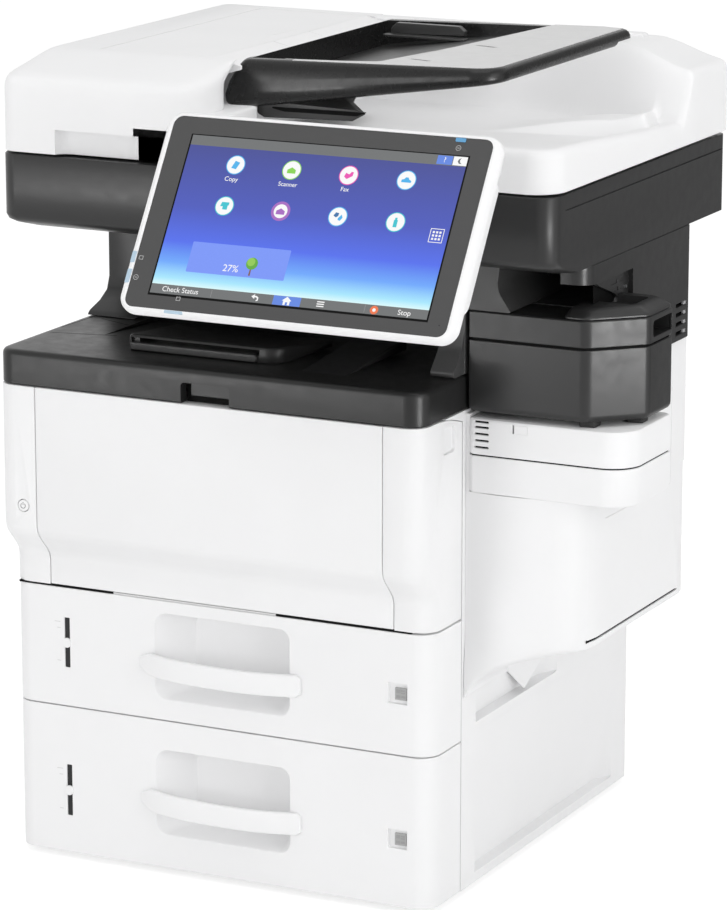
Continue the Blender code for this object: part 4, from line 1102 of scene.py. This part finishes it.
def screen_signs():
    """Tree on the card, and the small signs of the bottom bar and the right edge."""
    white = SIGN["white"]
    disc("tree_crown", 75.5, 29.4, 4.7, SIGN["leaf"], 0.2)
    disc("tree_light", 74.6, 30.6, 3.2, SIGN["leaf_light"], 0.24)
    shape("tree_trunk", [(-0.7, -5.4), (0.7, -5.4), (0.5, 0), (-0.5, 0)], 75.5, 25.4, SIGN["trunk"],
          lift=0.18)
    disc("stop_dot", 180.1, 3.4, 3.2, SIGN["orange"], 0.14)
    disc("stop_dot_mark", 180.1, 3.4, 1.3, white, 0.2)
    arrow = [(-3.4, 1), (-0.6, 3), (-0.6, 1.7), (1.4, 1.6), (3, 0.4), (3, -2.2), (1.2, -2.8), (1.2, -2),
             (2, -1.4), (1.8, -0.2), (0.8, 0.5), (-0.6, 0.4), (-0.6, -1)]
    shape("sign_back", arrow, 85.1, 3.7, white, 0.9)
    house = [(-3.8, 0), (0, 3.2), (3.8, 0), (2.6, 0), (2.6, -3.2), (0.9, -3.2), (0.9, -1), (-0.9, -1),
             (-0.9, -3.2), (-2.6, -3.2), (-2.6, 0)]
    shape("sign_home", house, 110.6, 3.7, white)
    for i in range(3):
        patch(f"sign_list_{i}", (134.6, 140.4), (1.7 + i * 1.7, 2.5 + i * 1.7), white, 0.12)
    for name, s, t, width, height in (("low", 207.6, 58.2, 10.8, 0.5), ("high", 207.6, 68.5, 10.8, 0.5),
                                      ("left", 207.6, 58.2, 0.5, 10.8), ("right", 217.9, 58.2, 0.5, 10.8)):
        patch(f"grid_{name}", (s, s + width), (t, t + height), white)
    for i in range(3):
        for j in range(3):
            s, t = 209.6 + i * 2.6, 60.2 + j * 2.6
            patch(f"grid_dot_{i}{j}", (s, s + 1.6), (t, t + 1.6), white)


def panel_marks():
    """Status lamps in the surround and the marks printed on the bezel."""
    lamp = plastic("lamp_lens", (0.42, 0.55, 0.66), 0.3)
    lamp_blue = glow("lamp_blue", (0.12, 0.42, 0.75), 0.8)
    for name, s, t, material in (("top", (209.2, 217), (136.4, 139.2), lamp_blue),
                                 ("low", (16, 31), (-14.8, -12.6), lamp),
                                 ("left_high", (-22.4, -18.8), (21.5, 30.5), lamp),
                                 ("left_low", (-22.4, -18.8), (5.5, 16.5), lamp)):
        piece(f"lamp_{name}", slab(s, t, (0.05, 1.25), 0.6), material, "panel", "white_plastic", edge=0.2)
    printed = plastic("bezel_print", (0.42, 0.42, 0.42), 0.5)
    disc("sensor_dot", 232.6, -3.2, 0.45, BLACK, 0.05, 16)
    for name, s, t in (("top", 212.6, 131.6), ("left", -14.6, 10.6)):
        disc(f"bezel_ring_{name}", s, t, 2.1, printed, 0.03, 24)
        disc(f"bezel_ring_{name}_inner", s, t, 1.7, BEZEL, 0.05, 24)
        patch(f"bezel_ring_{name}_bar", (s - 1, s + 1), (t - 0.25, t + 0.25), printed, 0.08)
    for name, s, t in (("low", 22.6, -4.4), ("left", -16.4, 24.6)):
        patch(f"bezel_sheet_{name}", (s, s + 3.4), (t, t + 3.0), printed, 0.04)
        patch(f"bezel_sheet_{name}_inner", (s + 0.4, s + 3.0), (t + 0.4, t + 2.6), BEZEL, 0.06)


# ---------------------------------------------------------------- small signs

def power_sign():
    """Ring and stroke on the power button."""
    low, high = edges("power_button")
    middle = (low + high) / 2
    arc = [math.radians(a) for a in range(35, 326, 15)]
    outline = [(middle.x + 2.3 * math.sin(a), middle.z + 2.3 * math.cos(a)) for a in arc]
    outline += [(middle.x + 1.8 * math.sin(a), middle.z + 1.8 * math.cos(a)) for a in reversed(arc)]
    for name, bm in (("ring", prism(outline, "y", low.y - 0.1, low.y + 0.3)),
                     ("stroke", block((middle.x - 0.25, middle.x + 0.25), (low.y - 0.1, low.y + 0.3),
                                      (middle.z + 0.6, middle.z + 2.9)))):
        piece(f"power_sign_{name}", bm, PRINT_GREY, "power_button", "white_plastic")


# ---------------------------------------------------------------- stage

def seen_directly(tree):
    """1 for camera, glossy and transmission rays, 0 for all others."""
    rays = add_node(tree, "LightPath").outputs
    result = rays["Is Camera Ray"]
    for kind in ("Glossy", "Transmission"):
        links = {0: result, 1: rays[f"Is {kind} Ray"]}
        result = add_node(tree, "Math", links=links, operation="MAXIMUM").outputs[0]
    return result


def floor():
    """Pale floor that keeps the shadow and fades to white around it."""
    bpy.ops.mesh.primitive_plane_add(size=60, location=(0, 0, 0))
    plane = bpy.context.object
    plane.name = "floor"
    material, tree, shader, _ = shader_material("floor_white", (0.9, 0.9, 0.9), 0.9)
    wire(tree, shader, {"Specular IOR Level": 0.1})
    half = add_node(tree, "Math", {1: 0.5}, {0: seen_directly(tree)}, operation="MULTIPLY")
    emission = add_node(tree, "Emission", {"Color": (1, 1, 1, 1), "Strength": 1.45})
    mix = add_node(tree, "MixShader", links={"Fac": half.outputs[0], 1: shader.outputs["BSDF"],
                                             2: emission.outputs["Emission"]})
    wire(tree, tree.nodes["Material Output"], links={"Surface": mix.outputs["Shader"]})
    plane.data.materials.append(material)


def surroundings():
    """White surroundings, dimmer where they only light the object."""
    sky = bpy.data.worlds.new("surroundings")
    bpy.context.scene.world = sky
    sky.use_nodes = True
    tree = sky.node_tree
    strength = add_node(tree, "MapRange", {"To Min": AMBIENT, "To Max": 1.0}, {"Value": seen_directly(tree)})
    wire(tree, tree.nodes["Background"], {"Color": (1, 1, 1, 1)}, {"Strength": strength.outputs["Result"]})


AMBIENT = 0.66
LAMPS = [  # name, azimuth from the front (degrees, right is positive), height, distance, size, watts
    ("front_left", -27, 0.62, 3.0, 1.1, 18.0),
    ("front_right", 62, 0.62, 2.8, 1.1, 14.0),
    ("side_high", 76, 1.5, 2.7, 1.4, 11.0),
    ("overhead", 20, 3.1, 0.6, 2.4, 20.0),
]
GLINTS = [  # the same, for lamps that only show as highlights
    ("front_glint", -30, -0.30, 2.6, 0.9, 52.0),
    ("corner_glint", 68, -0.25, 2.6, 0.8, 150.0),
]


def lights():
    """Plain soft studio light."""
    for name, azimuth, height, distance, size, watts in LAMPS + GLINTS:
        light = bpy.data.lights.new(name, "AREA")
        light.shape = "SQUARE"
        light.size = size
        light.energy = watts
        obj = bpy.data.objects.new(name, light)
        turn = math.radians(azimuth)
        obj.location = (distance * math.sin(turn), -distance * math.cos(turn), height)
        obj.rotation_euler = (Vector((0, 0, 0.35)) - obj.location).to_track_quat("-Z", "Y").to_euler()
        obj.visible_diffuse = not name.endswith("glint")
        bpy.context.scene.collection.objects.link(obj)


def dark_card():
    """Dark card behind the right side that only shows in reflections, so that the dark sides stay dark."""
    bpy.ops.mesh.primitive_plane_add(size=1.4, location=(0.62, 0.80, 0.35), rotation=(math.pi / 2, 0, -0.433))
    card = bpy.context.object
    card.name = "dark_card"
    material, tree, shader, _ = shader_material("card_black", (0.0, 0.0, 0.0), 1.0)
    wire(tree, shader, {"Emission Color": (0.3, 0.3, 0.3, 1.0), "Emission Strength": 1.0,
                        "Specular IOR Level": 0.0})
    card.data.materials.append(material)
    for kind in ("camera", "diffuse", "shadow", "transmission"):
        setattr(card, f"visible_{kind}", False)


def clear_tray_shade():
    """The document tray throws no shade, so that the white floor below it stays light."""
    for obj in bpy.data.objects:
        if obj.name.startswith("input_tray"):
            obj.visible_shadow = False
            obj.visible_diffuse = False


def camera():
    data = bpy.data.cameras.new("camera")
    data.sensor_width = 36
    data.lens = 167.27
    data.clip_end = 100
    obj = bpy.data.objects.new("camera", data)
    obj.location = (1.44038, -2.89671, 1.11268)
    obj.rotation_euler = (math.radians(90 - 13.563), 0, math.radians(26.355))
    bpy.context.scene.collection.objects.link(obj)
    bpy.context.scene.camera = obj


camera()
floor()
surroundings()
lights()
dark_card()
dress_frame()
lower_frame()
main_frame()
drawer_front("tray1", 140.5, 175.5, 20.5, (164.0, 180.0))
drawer_front("tray2", 28.5, 52.75, 21.25, (47.5, 62.7))
drawer_grip("tray1")
drawer_grip("tray2")
power_sign()
output_deck()
paper_stopper()
scanner_base()
right_pillar()
right_housing()
side_tower()
side_box()
stapler()
output_floor()
feeder_block()
feed_cover()
input_tray()
input_guides()
panel_shell()
screen()
icons()
screen_signs()
panel_marks()
clear_tray_shade()
bpy.context.scene.view_settings.view_transform = "Standard"
